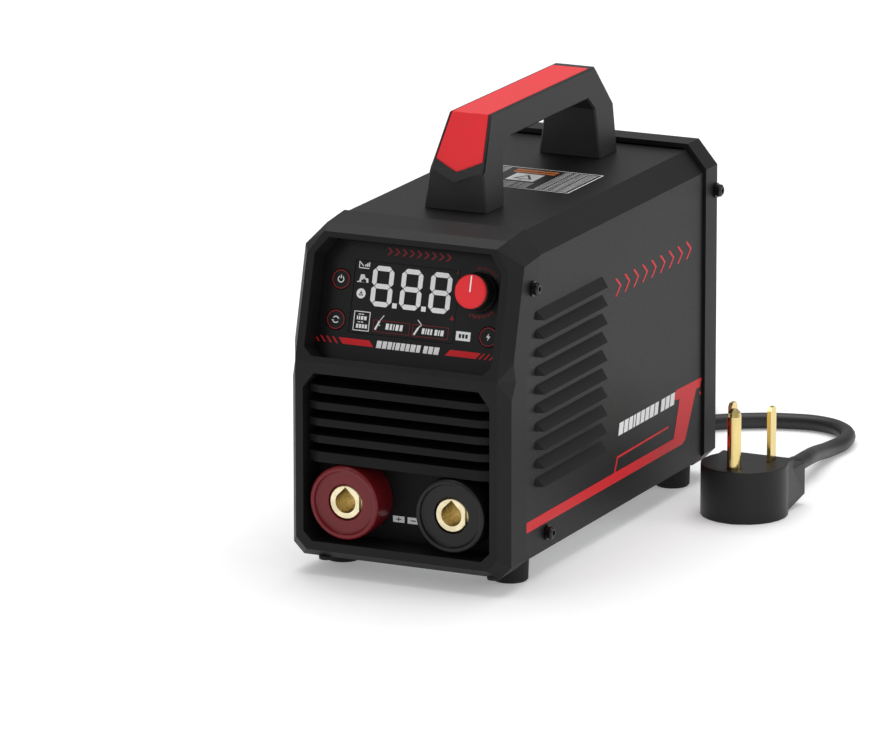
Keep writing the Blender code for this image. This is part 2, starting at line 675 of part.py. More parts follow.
def make_busbar(sign, side):
    """Copper strap from the socket's stud down and back onto the main board."""
    face = FRONT_Y + BUSH_END + 0.0033 + GAP + GAP
    low = MAIN_BOARD_HEIGHT + BOARD_THICKNESS + GAP
    top = SOCKET_HEIGHT + 0.010
    t = BUSBAR_THICKNESS
    outline = [(face, low), (MAIN_BOARD[1] + 0.012, low), (MAIN_BOARD[1] + 0.012, low + t),
               (face + t, low + t), (face + t, top), (face, top)]
    cx = side * SOCKET_SPACING / 2
    bar = prism(f"busbar_{sign}", [outline], across_x(cx - BUSBAR_WIDTH / 2), BUSBAR_WIDTH,
                COPPER)
    hole = toward((0, 1, 0), (cx, face - 0.002, SOCKET_HEIGHT))
    boolean(bar, cylinder(f"busbar_hole_{sign}", STUD_RADIUS + GAP, 0.008, hole))


# ---------------------------------------------------------------- control panel


def make_panel():
    lay = face_matrix(depth=PANEL_FRONT + PANEL_THICKNESS)
    panel = prism("display_panel", [upper_cavity(GAP)], lay, PANEL_THICKNESS, PANEL_BLACK)
    through = PANEL_THICKNESS + 0.004
    x0, x1, low, high = WINDOW
    window_box = [(x0, low), (x1, low), (x1, high), (x0, high)]
    below = face_matrix(depth=PANEL_FRONT + PANEL_THICKNESS + 0.002)
    boolean(panel, prism("window_cut", [window_box], below, through))
    inner = [(x0 + GAP, low + GAP), (x1 - GAP, low + GAP), (x1 - GAP, high - GAP),
             (x0 + GAP, high - GAP)]
    prism("display_window", [inner], lay, PANEL_THICKNESS - 0.0002, CLEAR)
    for name, (x, rise) in BUTTONS.items():
        spot = face_matrix(x, rise, PANEL_FRONT + PANEL_THICKNESS + 0.002)
        boolean(panel, cylinder(f"{name}_hole", BUTTON_RADIUS + GAP, through, spot))
        make_button(name, x, rise)
    spot = face_matrix(*DIAL_AT, PANEL_FRONT + PANEL_THICKNESS + 0.002)
    boolean(panel, cylinder("dial_hole", DIAL_SHAFT + 0.001, through, spot))
    make_dial()
    make_display_board(inner)


def make_button(name, x, rise):
    """Round key with a flange behind the panel and a plunger to its switch."""
    out = face_matrix(x, rise, PANEL_FRONT + PANEL_THICKNESS)
    cap_top = PANEL_THICKNESS + 0.0004
    flange = -0.0003
    foot = -(BOARD_SETBACK - BUTTON_TRAVEL - 0.0013)
    profile = [
        (0, cap_top), (BUTTON_RADIUS - 0.0005, cap_top), (BUTTON_RADIUS, cap_top - 0.0005),
        (BUTTON_RADIUS, flange), (BUTTON_RADIUS + 0.0012, flange),
        (BUTTON_RADIUS + 0.0012, flange - 0.0010), (0.0020, flange - 0.0010), (0.0020, foot),
        (0, foot),
    ]
    key = turned(name, profile, BLACK_PLASTIC, 20, out)
    hang_on(empty_at(f"{name}_axis", out), key)


def make_dial():
    """Dial knob pressed on the encoder's shaft; all three turn about the panel's normal."""
    out = face_matrix(*DIAL_AT, PANEL_FRONT)
    base = 0.0008
    top = DIAL_HEIGHT
    r = DIAL_RADIUS
    bore = DIAL_SHAFT + GAP
    seat = top - DIAL_CAP
    profile = [
        (bore, seat - GAP), (r - 0.0004, seat - GAP), (r, seat - GAP - 0.0004),
        (r + 0.0006, base + 0.0030), (r + 0.0014, base + 0.0020), (r + 0.0014, base), (bore, base),
    ]
    body = turned("dial_knob", profile, BLACK_PLASTIC, 32, out)
    rc = r - 0.0004
    cap_profile = [(0, top), (rc - 0.0008, top), (rc, top - 0.0008), (rc, seat), (0, seat)]
    cap = turned("dial_cap", cap_profile, RED_PLASTIC, 32, out)
    board_face = -(PANEL_THICKNESS + BOARD_SETBACK)
    housing_top = board_face + 0.0050
    shaft_top = seat - GAP
    shaft_profile = [(0, shaft_top), (DIAL_SHAFT, shaft_top), (DIAL_SHAFT, housing_top + GAP),
                     (0, housing_top + GAP)]
    shaft = turned("dial_shaft", shaft_profile, STEEL, 16, out)
    hang_on(empty_at("dial_axis", out), body, cap, shaft)
    x, rise = DIAL_AT
    half = 0.0060
    square = [(x - half, rise - half), (x + half, rise - half), (x + half, rise + half),
              (x - half, rise + half)]
    lay = face_matrix(depth=BOARD_FRONT - GAP)
    prism("dial_encoder", [square], lay, 0.0050 - GAP, STEEL)


def make_display_board(window):
    x_limit = CAVITY_HALF - 0.0050
    outline = cut_rectangle(x_limit, 0.0060, CAVITY_TOP_RISE - 0.0030, (0.002, 0.002),
                            (0.012, 0.013))
    lay = face_matrix(depth=BOARD_FRONT + BOARD_THICKNESS)
    prism("display_board", [outline], lay, BOARD_THICKNESS, BOARD_GREEN)
    digits = [(window[0][0] + 0.001, window[0][1] + 0.001), (window[1][0] - 0.001, window[1][1] + 0.001),
              (window[2][0] - 0.001, window[2][1] - 0.001), (window[3][0] + 0.001, window[3][1] - 0.001)]
    prism("digit_display", [digits], face_matrix(depth=BOARD_FRONT - GAP), BOARD_SETBACK - 2 * GAP,
          PANEL_BLACK)


# ---------------------------------------------------------------- sheet cover and tray


def shell_outline(inset):
    """Cover's section, an upturned U with cut shoulders, open at the bottom."""
    half = SHELL_HALF - inset
    top = SHELL_TOP - inset
    cut_x, cut_z = SHELL_CUT
    corner = inset * math.tan(math.radians(20))
    right = [(half, SHELL_BOTTOM), (half, top - cut_z + corner), (half - cut_x + corner, top)]
    return right + [(-x, z) for x, z in reversed(right)]


def shell_span():
    """Side view of the cover: its front edge follows the back of the bezel."""
    front = FRONT_Y + SHELL_FRONT
    kink = KINK_HEIGHT - SHELL_FRONT * math.tan(FACE_TILT / 2)
    high = SHELL_TOP + 0.01
    lean = (high - kink) * math.tan(FACE_TILT)
    rear = FRAME_FRONT - GAP
    low = SHELL_BOTTOM - 0.01
    return [(front, low), (rear, low), (rear, high), (front + lean, high), (front, kink)]


def louvre_wedges(inset):
    """Louvre hoods on both sides; the inner set, moved in, hollows them."""
    bm = bmesh.new()
    for side in (-1, 1):
        for row in range(LOUVRE_COUNT):
            top = LOUVRE_TOP - row * LOUVRE_PITCH
            add_wedge(bm, side, top, inset)
    return mesh_from(bm, "louvres")


def add_wedge(bm, side, top, inset):
    wall = 0.0010 if inset else 0.0
    inner = SHELL_HALF - (0.0030 if inset else 0.0006)
    outer = SHELL_HALF + LOUVRE_OUT - 1.4 * wall
    low = top - LOUVRE_HEIGHT - (0.0006 if inset else 0.0)
    high = top - 1.5 * wall
    start = LOUVRE_START + 2 * wall
    end = LOUVRE_START + LOUVRE_LENGTH - 2 * wall
    slope = LOUVRE_END
    corners = [
        (inner, start, low), (inner, end, low), (inner, end, high), (inner, start, high),
        (outer, start + slope, low), (outer, end - slope, low),
    ]
    verts = [bm.verts.new((side * x, y, z)) for x, y, z in corners]
    bmesh.ops.convex_hull(bm, input=verts)


def make_cover():
    bm = bmesh.new()
    start, end = FRONT_Y, FRAME_FRONT + 0.01
    path = shell_outline(0)
    rows = [[bm.verts.new((x, y, z)) for x, z in path] for y in (start, end)]
    for i in range(len(path) - 1):
        bm.faces.new((rows[0][i], rows[0][i + 1], rows[1][i + 1], rows[1][i]))
    bmesh.ops.recalc_face_normals(bm, faces=bm.faces)
    mesh = bpy.data.meshes.new("top_cover")
    bm.to_mesh(mesh)
    bm.free()
    cover = add_object("top_cover", mesh, BLACK_PAINT)
    thicken = cover.modifiers.new("sheet", "SOLIDIFY")
    thicken.thickness = SHEET
    thicken.offset = 1.0 if cover_faces_in(mesh) else -1.0
    thicken.use_even_offset = True
    span = prism("cover_span", [shell_span()], across_x(-HALF - 0.02), BODY_WIDTH + 0.04)
    boolean(cover, span, "INTERSECT")
    boolean(cover, add_object("louvre_hoods", louvre_wedges(False)), "UNION")
    boolean(cover, add_object("louvre_hollows", louvre_wedges(True)))
    for side in (-1, 1):
        boolean(cover, screw_hole("tray_screw_hole", side, *TRAY_SCREW_AT))
    for y in handle_screw_places():
        drill = toward((0, 0, 1), (0, y, SHELL_TOP - 0.004))
        boolean(cover, cylinder("handle_screw_hole", SCREW_SHANK + GAP, 0.008, drill))
    return cover


def cover_faces_in(mesh):
    """True when the cover's top face points down."""
    top = max(mesh.polygons, key=lambda face: face.center.z)
    return top.normal.z < 0


def screw_hole(name, side, y, z):
    start = (side * (HALF - 0.010), y, z)
    return cylinder(name, SCREW_SHANK + GAP, 0.020, toward((side, 0, 0), start), None, 16)


def make_tray():
    half = SHELL_HALF - SHEET - GAP
    low = TRAY_UNDERSIDE
    t = TRAY_SHEET
    wall_top = low + TRAY_WALL_HEIGHT
    cut = REAR_BOTTOM_CUT
    outline = [
        (-half + cut, low), (half - cut, low), (half, low + cut), (half, wall_top),
        (half - t, wall_top), (half - t, low + cut + t * 0.4), (half - cut - t * 0.4, low + t),
        (-half + cut + t * 0.4, low + t), (-half + t, low + cut + t * 0.4),
        (-half + t, wall_top), (-half, wall_top), (-half, low + cut),
    ]
    start = FRONT_Y + PLATE_FRONT + GRILLE_PLATE + GAP
    length = REAR_PANEL_FRONT - GAP - start
    tray = flip_if_needed(prism("base_tray", [outline], along_y(start), length, STEEL))
    post_top = MAIN_BOARD_HEIGHT - GAP
    for x in (-1, 1):
        for y in (MAIN_BOARD[1] + 0.006, MAIN_BOARD[2] - 0.006):
            spot = toward((0, 0, 1), (x * (MAIN_BOARD[0] - 0.006), y, low + t / 2))
            post = cylinder("board_post", 0.0040, post_top - low - t / 2, spot, None, 16)
            boolean(tray, post, "UNION")
    for side in (-1, 1):
        boolean(tray, screw_hole("tray_hole", side, *TRAY_SCREW_AT))
    return tray


# ---------------------------------------------------------------- rear frame and panel


def rear_outline(inset, top_drop=0.0):
    return cut_rectangle(HALF - inset, BODY_BOTTOM + inset, REAR_TOP - inset - top_drop,
                         (REAR_BOTTOM_CUT, REAR_BOTTOM_CUT), REAR_CUT)


def make_rear_frame():
    outer, inner = rear_outline(0), rear_outline(BEVEL_IN)
    stations = [(FRAME_FRONT, outer), (REAR_Y - BEVEL_DEPTH, outer), (REAR_Y, inner)]
    bm = bmesh.new()
    rings = [[bm.verts.new((x, y, z)) for x, z in ring] for y, ring in stations]
    for near, far in zip(rings, rings[1:]):
        for i in range(len(near)):
            j = (i + 1) % len(near)
            bm.faces.new((near[i], near[j], far[j], far[i]))
    for ring in (rings[0], rings[-1]):
        bm.faces.new(ring)
    frame = add_object("rear_frame", mesh_from(bm, "rear_frame"), BLACK_PLASTIC)
    lip = REAR_LIP_WIDTH
    hole = prism("rear_hole_cut", [rear_outline(lip)], along_y(FRAME_FRONT - 0.01),
                 REAR_FRAME_LENGTH + 0.02)
    boolean(frame, flip_if_needed(hole))
    hall = prism("rear_cavity_cut", [rear_outline(REAR_FRAME_WALL)], along_y(FRAME_FRONT - 0.01),
                 REAR_FRAME_LENGTH + 0.01 - REAR_LIP)
    boolean(frame, flip_if_needed(hall))
    return frame


def fan_slots():
    """Slots in front of the fan's bore, in rows, with a rib left up the middle."""
    rows = []
    reach = FAN_BORE - 0.0015
    count = int(reach / FAN_SLOT_PITCH)
    for row in range(-count, count + 1):
        corner = abs(row) * FAN_SLOT_PITCH + FAN_SLOT_HALF
        half = math.sqrt(max(reach ** 2 - corner ** 2, 0))
        if half < FAN_SLOT_SHORTEST:
            continue
        z = FAN_HEIGHT + row * FAN_SLOT_PITCH
        for side in (-1, 1):
            near, far = sorted((side * FAN_RIB_HALF, side * half))
            rows.append((near, far, REAR_PANEL_FRONT - 0.002, REAR_PANEL_FRONT + 0.004,
                         z - FAN_SLOT_HALF, z + FAN_SLOT_HALF))
    return rows


def make_rear_panel():
    ring = rear_outline(REAR_FRAME_WALL + GAP)
    panel = prism("rear_panel", [ring], along_y(REAR_PANEL_FRONT), SHEET, BLACK_PAINT)
    flip_if_needed(panel)
    boolean(panel, boxes("fan_slots", fan_slots()))
    sx, sz = SWITCH_AT
    w, h = SWITCH_SIZE
    boolean(panel, boxes("switch_hole", [(sx - w / 2 - GAP, sx + w / 2 + GAP, REAR_PANEL_FRONT - 0.01,
                                          REAR_PANEL_FRONT + 0.01, sz - h / 2 - GAP, sz + h / 2 + GAP)]))
    gx, gz = GLAND_AT
    drill = toward((0, 1, 0), (gx, REAR_PANEL_FRONT - 0.01, gz))
    boolean(panel, cylinder("gland_hole", 0.0090 + GAP, 0.02, drill))
    return panel


def make_switch():
    """Mains rocker switch snapped into the rear panel, with its bezel outside."""
    sx, sz = SWITCH_AT
    w, h = SWITCH_SIZE
    face = REAR_PANEL_FRONT + SHEET + GAP
    body = boxes("switch_body", [(sx - w / 2, sx + w / 2, face - 0.024, face + 0.0010,
                                  sz - h / 2, sz + h / 2)], BLACK_PLASTIC)
    flange = boxes("switch_flange", [(sx - w / 2 - 0.0015, sx + w / 2 + 0.0015, face, face + 0.0020,
                                      sz - h / 2 - 0.0015, sz + h / 2 + 0.0015)])
    boolean(body, flange, "UNION")
    well = (sx - w / 2 + 0.0018, sx + w / 2 - 0.0018, face - 0.0080, face + 0.01,
            sz - h / 2 + 0.0020, sz + h / 2 - 0.0020)
    boolean(body, boxes("switch_well", [well]))
    half_h = h / 2 - 0.0026
    thick = 0.0040
    rise = math.tan(ROCKER_TILT) * half_h
    side_view = [(-0.0035, -half_h * 0.55), (-0.0035, half_h * 0.55), (thick - rise, half_h),
                 (thick - rise * 0.6, half_h), (thick * 0.55, 0.0), (thick - rise * 0.6, -half_h),
                 (thick - rise, -half_h)]
    pivot = (sx, face - 0.0022, sz)
    width = w - 0.0036 - 2 * GAP
    lay = axes((0, 1, 0), (0, 0, 1), (sx - width / 2, pivot[1], sz))
    lay = lay @ Matrix.Rotation(ROCKER_TILT, 4, "Z")
    rocker = prism("power_rocker", [side_view], lay, width, RED_PLASTIC)
    hang_on(empty_at("rocker_axis", Matrix.Translation(pivot)), rocker)


def make_gland():
    """Cord gland: flange outside the panel, thread and nut inside, round nose for the cord."""
    gx, gz = GLAND_AT
    base = toward((0, 1, 0), (gx, REAR_PANEL_FRONT + SHEET + GAP, gz))
    bore = CORD_DIAMETER / 2 + GAP
    reach = GLAND_LENGTH
    profile = [
        (bore, reach), (bore + 0.0025, reach), (bore + 0.0045, reach - 0.010),
        (GLAND_HEX / 2 - 0.001, 0.0100), (GLAND_HEX / 2, 0.0090), (GLAND_HEX / 2, 0),
        (0.0090, 0), (0.0090, -0.0120), (bore, -0.0120),
    ]
    turned("cord_gland", profile, BLACK_PLASTIC, ROUND, base)


# ---------------------------------------------------------------- handle


def handle_outline():
    """Side view of the handle: an arch whose legs run on below the cover until they are cut."""
    base = SHELL_TOP - 0.006
    under = HANDLE_TOP - HANDLE_GRIP
    front = HANDLE_FRONT + HANDLE_FRONT_LEG
    rear = HANDLE_REAR - HANDLE_REAR_LEG
    return [
        (HANDLE_FRONT, base), (front, base), (front + 0.0085, under - 0.007),
        (front + 0.0200, under), (rear - 0.0075, under), (rear, under - 0.0075), (rear, base),
        (HANDLE_REAR, base), (HANDLE_REAR + HANDLE_REAR_KINK[0], SHELL_TOP + HANDLE_REAR_KINK[1]),
        (HANDLE_REAR - HANDLE_REAR_CORNER, HANDLE_TOP),
        (HANDLE_FRONT + HANDLE_FRONT_CORNER, HANDLE_TOP),
        (HANDLE_FRONT + HANDLE_FRONT_KINK[0], SHELL_TOP + HANDLE_FRONT_KINK[1]),
    ]


def handle_taper(name, inset):
    """Long wedge whose sides are the handle's leaning sides, moved in by an inset."""
    lean = (HANDLE_BASE_HALF - HANDLE_TOP_HALF) / (HANDLE_TOP - SHELL_TOP)
    low, high = SHELL_TOP - 0.020, HANDLE_TOP + 0.020
    wide = HANDLE_BASE_HALF + lean * (SHELL_TOP - low) - inset
    narrow = HANDLE_TOP_HALF - lean * (high - HANDLE_TOP) - inset
    section = [(-wide, low), (wide, low), (narrow, high), (-narrow, high)]
    length = HANDLE_REAR - HANDLE_FRONT + 0.040
    return flip_if_needed(prism(name, [section], along_y(HANDLE_FRONT - 0.020), length))


def inlay_plan(inset):
    """The red inlay seen from above: a bar with a point at the front."""
    rear = HANDLE_REAR - HANDLE_REAR_CORNER - INLAY_REAR - inset
    tip = HANDLE_FRONT + HANDLE_FRONT_KINK[0] + INLAY_TIP + inset
    half = HANDLE_BASE_HALF + 0.005
    shoulder = tip + INLAY_POINT * half / HANDLE_TOP_HALF
    return [(-half, rear), (-half, shoulder), (0, tip), (half, shoulder), (half, rear)]


def inlay_band(name, drop, lift):
    """Band that follows the top and front slope of the handle, between two depths."""
    foot = Vector((HANDLE_FRONT + HANDLE_FRONT_KINK[0], SHELL_TOP + HANDLE_FRONT_KINK[1]))
    corner = Vector((HANDLE_FRONT + HANDLE_FRONT_CORNER, HANDLE_TOP))
    slope = (corner - foot).normalized()
    normal = Vector((-slope.y, slope.x))
    bisect = math.tan((math.pi / 2 - math.atan2(slope.x, slope.y)) / 2)
    rear = HANDLE_REAR + 0.01

    def offset(distance):
        low = foot + normal * distance - slope * 0.004
        bend = corner + Vector((-bisect * distance, distance))
        return [(low.x, low.y), (bend.x, bend.y), (rear, HANDLE_TOP + distance)]

    outline = offset(lift) + list(reversed(offset(-drop)))
    return prism(name, [outline], across_x(-0.03), 0.06)


def inlay_solid(name, inset, drop, lift, surface=None):
    plan = axes((1, 0, 0), (0, 1, 0), (0, 0, SHELL_TOP))
    solid = prism(name, [inlay_plan(inset)], plan, 0.10, surface)
    boolean(solid, inlay_band(f"{name}_band", drop, lift), "INTERSECT")
    return boolean(solid, handle_taper(f"{name}_taper", INLAY_BORDER + inset), "INTERSECT")


def handle_slope(height):
    """Y of the handle's front slope at a height above the cover."""
    behind, kink = HANDLE_FRONT_KINK
    lean = (HANDLE_FRONT_CORNER - behind) / (HANDLE_RISE - kink)
    return HANDLE_FRONT + behind + lean * (height - kink)


def handle_brow():
    """Point that carries the front slope down over the leg."""
    half, side = BROW_SIDE
    point = [(-half, SHELL_TOP + side), (0, SHELL_TOP + BROW_TIP), (half, SHELL_TOP + side)]
    back = 0.006
    brow = flip_if_needed(prism("handle_brow", [point], along_y(HANDLE_FRONT - back), 2 * back))
    low, high = BROW_TIP - 0.005, side + 0.005
    ahead = HANDLE_FRONT - 0.02
    cut = [(handle_slope(low) - BROW_PROUD, SHELL_TOP + low),
           (handle_slope(high) - BROW_PROUD, SHELL_TOP + high),
           (ahead, SHELL_TOP + high), (ahead, SHELL_TOP + low)]
    return boolean(brow, prism("brow_cut", [cut], across_x(-0.03), 0.06))


def make_handle():
    width = 2 * HANDLE_BASE_HALF + 0.01
    handle = prism("handle_body", [handle_outline()], across_x(-width / 2), width, BLACK_PLASTIC)
    boolean(handle, handle_taper("handle_sides", 0), "INTERSECT")
    soften = handle.modifiers.new("edges", "BEVEL")
    soften.width = HANDLE_EDGE
    soften.segments = 1
    soften.limit_method = "ANGLE"
    soften.angle_limit = math.radians(60)
    base = (-0.05, 0.05, HANDLE_FRONT - 0.02, HANDLE_REAR + 0.02, SHELL_TOP - 0.02, SHELL_TOP + GAP)
    boolean(handle, boxes("handle_base_cut", [base]))
    boolean(handle, handle_brow(), "UNION")
    boolean(handle, inlay_solid("inlay_bed", 0, INLAY_DEPTH, 0.010))
    inlay_solid("handle_inlay", GAP, INLAY_DEPTH - GAP, 0.0002, RED_PLASTIC)
    for number, y in enumerate(handle_screw_places()):
        name = ("handle_screw_front", "handle_screw_rear")[number]
        shank_top = 0.0150
        drill = toward((0, 0, 1), (0, y, SHELL_TOP - 0.001))
        boolean(handle, cylinder(f"{name}_bore", SCREW_SHANK + GAP, shank_top, drill, None, 16))
        spot = toward((0, 0, -1), (0, y, SHELL_TOP - SHEET - GAP))
        make_screw(name, spot, shank_top - 0.002)
    return handle


def handle_screw_places():
    return (HANDLE_FRONT + HANDLE_FRONT_LEG / 2, HANDLE_REAR - HANDLE_REAR_LEG / 2)


def make_screw(name, place, length):
    """Button head screw on two washers; they stand out of the matrix's plane, its shank goes in."""
    head, socket = SCREW_HEAD, SCREW_SOCKET
    flat, spring = WASHER[1], WASHER[1] + SPRING_WASHER[1]
    tall = spring + SCREW_HEAD_HEIGHT
    profile = [
        (0, tall - 0.0014), (socket, tall - 0.0014), (socket, tall),
        (head - 0.0012, tall), (head, tall - 0.0010), (head, spring), (SPRING_WASHER[0], spring),
        (SPRING_WASHER[0], flat), (WASHER[0], flat), (WASHER[0], 0), (SCREW_SHANK, 0),
        (SCREW_SHANK, -length), (0, -length),
    ]
    return turned(name, profile, STEEL, 16, place)


def make_case_screws(bezel, frame):
    for side, word in ((-1, "left"), (1, "right")):
        y, z = BEZEL_SCREW_AT
        boolean(bezel, screw_hole(f"bezel_screw_hole_{word}", side, y, z))
        make_screw(f"bezel_screw_{word}", toward((side, 0, 0), (side * (HALF + GAP), y, z)),
                   SCREW_LENGTH)
        y, z = REAR_SCREW_AT
        boolean(frame, screw_hole(f"rear_screw_hole_{word}", side, y, z))
        make_screw(f"rear_screw_{word}", toward((side, 0, 0), (side * (HALF + GAP), y, z)),
                   SCREW_LENGTH - 0.0025)
        y, z = TRAY_SCREW_AT
        make_screw(f"tray_screw_{word}", toward((side, 0, 0), (side * (SHELL_HALF + GAP), y, z)),
                   SCREW_LENGTH)


def make_feet():
    profile = [
        (0, TRAY_UNDERSIDE - GAP), (FOOT_RADIUS, TRAY_UNDERSIDE - GAP),
        (FOOT_RADIUS - 0.0004, 0.0010), (FOOT_RADIUS - 0.0012, 0), (0.0040, 0), (0.0040, 0.0030),
        (0, 0.0030),
    ]
    for x, side in ((-FOOT_SIDE, "left"), (FOOT_SIDE, "right")):
        for y, end in ((FOOT_FRONT, "front"), (FOOT_REAR, "rear")):
            turned(f"foot_{end}_{side}", profile, RUBBER, 20,
                   Matrix.Translation((x, y, 0)))


# ---------------------------------------------------------------- electronics


def make_main_board():
    half, front, rear = MAIN_BOARD
    boxes("main_board", [(-half, half, front, rear, MAIN_BOARD_HEIGHT,
                          MAIN_BOARD_HEIGHT + BOARD_THICKNESS)], BOARD_GREEN)
    deck = MAIN_BOARD_HEIGHT + BOARD_THICKNESS + GAP
    start = MAIN_BOARD[1] + 0.020
    for side, word in ((-1, "left"), (1, "right")):
        outline = heatsink_outline(side, deck)
        sink = prism(f"heatsink_{word}", [outline], along_y(start), HEATSINK_LENGTH, ALUMINIUM)
        flip_if_needed(sink)
    make_transformer(deck, start + HEATSINK_LENGTH + 0.026)
    y = start + HEATSINK_LENGTH + 0.022
    spot = Matrix.Translation((MAIN_BOARD[0] - CHOKE_OUTER - 0.002, y + 0.036, deck))
    r0, r1, h = CHOKE_INNER, CHOKE_OUTER, CHOKE_HEIGHT
    edge = 0.0030
    ring = [(r0, h - edge), (r0 + edge, h), (r1 - edge, h), (r1, h - edge), (r1, edge),
            (r1 - edge, 0), (r0 + edge, 0), (r0, edge)]
    turned("output_choke", ring, WINDING, ROUND, spot)
    for number, x in enumerate((-0.0400, -0.0060)):
        place = Matrix.Translation((x, y + 0.041, deck))
        r, h = CAPACITOR_RADIUS, CAPACITOR_HEIGHT
        can = [(0, h - 0.0006), (r - 0.003, h - 0.0006), (r - 0.002, h), (r - 0.001, h),
               (r, h - 0.001), (r, 0), (0, 0)]
        turned(f"capacitor_{number + 1}", can, CAPACITOR_SLEEVE, 24, place)


def heatsink_outline(side, deck):
    """Comb section: an upright plate with fins that reach outwards."""
    plate = 0.0050
    fin = 0.0022
    pitch = (HEATSINK_HEIGHT - fin) / (HEATSINK_FINS - 1)
    inner, outer = HEATSINK_INNER, HEATSINK_INNER + HEATSINK_WIDTH
    points = [(inner, deck), (outer, deck)]
    for number in range(HEATSINK_FINS):
        low = deck + number * pitch
        if number:
            points += [(inner + plate, low), (outer, low)]
        points += [(outer, low + fin)]
        if number < HEATSINK_FINS - 1:
            points += [(inner + plate, low + fin)]
    points.append((inner, deck + HEATSINK_HEIGHT))
    return [(side * x, z) for x, z in points]


def make_transformer(deck, y):
    """Ferrite core with two windows; the winding fills them round the middle leg."""
    width, depth, height = CORE_SIZE
    half_leg = CORE_LEG / 2
    yoke = (height - 0.028) / 2
    outer = [(-width / 2, deck), (width / 2, deck), (width / 2, deck + height),
             (-width / 2, deck + height)]
    windows = []
    for side in (-1, 1):
        near, far = side * half_leg, side * (half_leg + CORE_WINDOW)
        windows.append([(near, deck + yoke), (far, deck + yoke), (far, deck + height - yoke),
                        (near, deck + height - yoke)])
    core = prism("transformer_core", [outer] + windows, along_y(y - depth / 2), depth, FERRITE)
    flip_if_needed(core)
    low = deck + yoke + GAP
    tall = height - 2 * yoke - 2 * GAP
    inner = winding_ring(half_leg + GAP, depth / 2 + GAP)
    outside = winding_ring(half_leg + CORE_WINDOW - GAP, depth / 2 + 0.0085)
    lay = axes((1, 0, 0), (0, 1, 0), (0, y, low))
    prism("transformer_winding", [outside, inner], lay, tall, WINDING)


def winding_ring(half_x, half_y):
    return [(-half_x, -half_y), (half_x, -half_y), (half_x, half_y), (-half_x, half_y)]


# ---------------------------------------------------------------- fan


def make_fan():
    front = REAR_PANEL_FRONT - GAP - FAN_DEPTH
    half = FAN_SIZE / 2
    square = cut_rectangle(half, FAN_HEIGHT - half, FAN_HEIGHT + half, (0.004, 0.004),
                           (0.004, 0.004))
    bore = [(FAN_BORE * math.cos(math.tau * i / 48), FAN_HEIGHT + FAN_BORE * math.sin(math.tau * i / 48))
            for i in range(48)]
    frame = flip_if_needed(prism("fan_frame", [square, bore], along_y(front), FAN_DEPTH,
                                 BLACK_PLASTIC))
    hub = toward((0, 1, 0), (0, front + 0.0005, FAN_HEIGHT))
    boolean(frame, cylinder("fan_seat", FAN_HUB, 0.0030, hub), "UNION")
    for number in range(4):
        angle = math.radians(45 + 90 * number)
        spin = Matrix.Translation((0, 0, FAN_HEIGHT)) @ Matrix.Rotation(angle, 4, "Y")
        strut = boxes("fan_strut", [(FAN_HUB - 0.002, FAN_BORE + 0.003, front + 0.0007, front + 0.0030,
                                     -0.0015, 0.0015)], None, spin)
        boolean(frame, strut, "UNION")
    drill = toward((0, 1, 0), (0, front - 0.002, FAN_HEIGHT))
    boolean(frame, cylinder("fan_bearing", FAN_SHAFT + GAP, 0.010, drill, None, 16))
    make_rotor(front)
    return frame


def make_rotor(front):
    start = front + 0.0035 + 0.0005
    length = FAN_DEPTH - 0.0040 - 0.0020
    axis = toward((0, 1, 0), (0, start, FAN_HEIGHT))
    profile = [(0, length), (FAN_HUB - 0.002, length), (FAN_HUB, length - 0.002), (FAN_HUB, 0),
               (FAN_SHAFT, 0), (FAN_SHAFT, -0.0030), (0, -0.0030)]
    rotor = turned("fan_rotor", profile, BLACK_PLASTIC, 32, axis)
    middle = start + length / 2
    for number in range(FAN_BLADES):
        angle = math.tau * number / FAN_BLADES
        spin = Matrix.Translation((0, middle, FAN_HEIGHT)) @ Matrix.Rotation(angle, 4, "Y")
        pitch = Matrix.Rotation(math.radians(38), 4, "X")
        blade = boxes(f"fan_blade_{number}", [(FAN_HUB - 0.003, FAN_BLADE_RADIUS, -0.0008, 0.0008,
                                               -0.0095, 0.0095)], None, spin @ pitch)
        boolean(rotor, blade, "UNION")
    hang_on(empty_at("fan_axis", Matrix.Translation((0, middle, FAN_HEIGHT))), rotor)


# ---------------------------------------------------------------- cord and plug


def smooth_points(points, spacing):
    """Points read at even steps from a smooth curve through the route."""
    route = [Vector(point) for point in points]
    ends = [route[0] * 2 - route[1]] + route + [route[-1] * 2 - route[-2]]
    fine = []
    for a, b, c, d in zip(ends, ends[1:], ends[2:], ends[3:]):
        for step in range(20):
            t = step / 20
            fine.append(0.5 * (2 * b + (c - a) * t + (2 * a - 5 * b + 4 * c - d) * t ** 2
                               + (3 * b - a - 3 * c + d) * t ** 3))
    fine.append(route[-1])
    total = sum((q - p).length for p, q in zip(fine, fine[1:]))
    count = max(2, round(total / spacing))
    even, walked, target = [fine[0]], 0.0, total / count
    for p, q in zip(fine, fine[1:]):
        span = (q - p).length
        while walked + span >= target * len(even) and len(even) < count:
            even.append(p.lerp(q, (target * len(even) - walked) / span))
        walked += span
    return even + [fine[-1]]


def cord_tube(name, points):
    curve = bpy.data.curves.new(name, "CURVE")
    curve.dimensions = "3D"
    curve.bevel_depth = CORD_DIAMETER / 2
    curve.bevel_resolution = 3
    curve.use_fill_caps = True
    route = smooth_points(points, 2.5 * CORD_DIAMETER)
    spline = curve.splines.new("POLY")
    spline.points.add(len(route) - 1)
    for point, place in zip(spline.points, route):
        point.co = (*place, 1)
    tube = bpy.data.objects.new(name, curve)
    PARTS.objects.link(tube)
    curve.materials.append(RUBBER)
    return tube


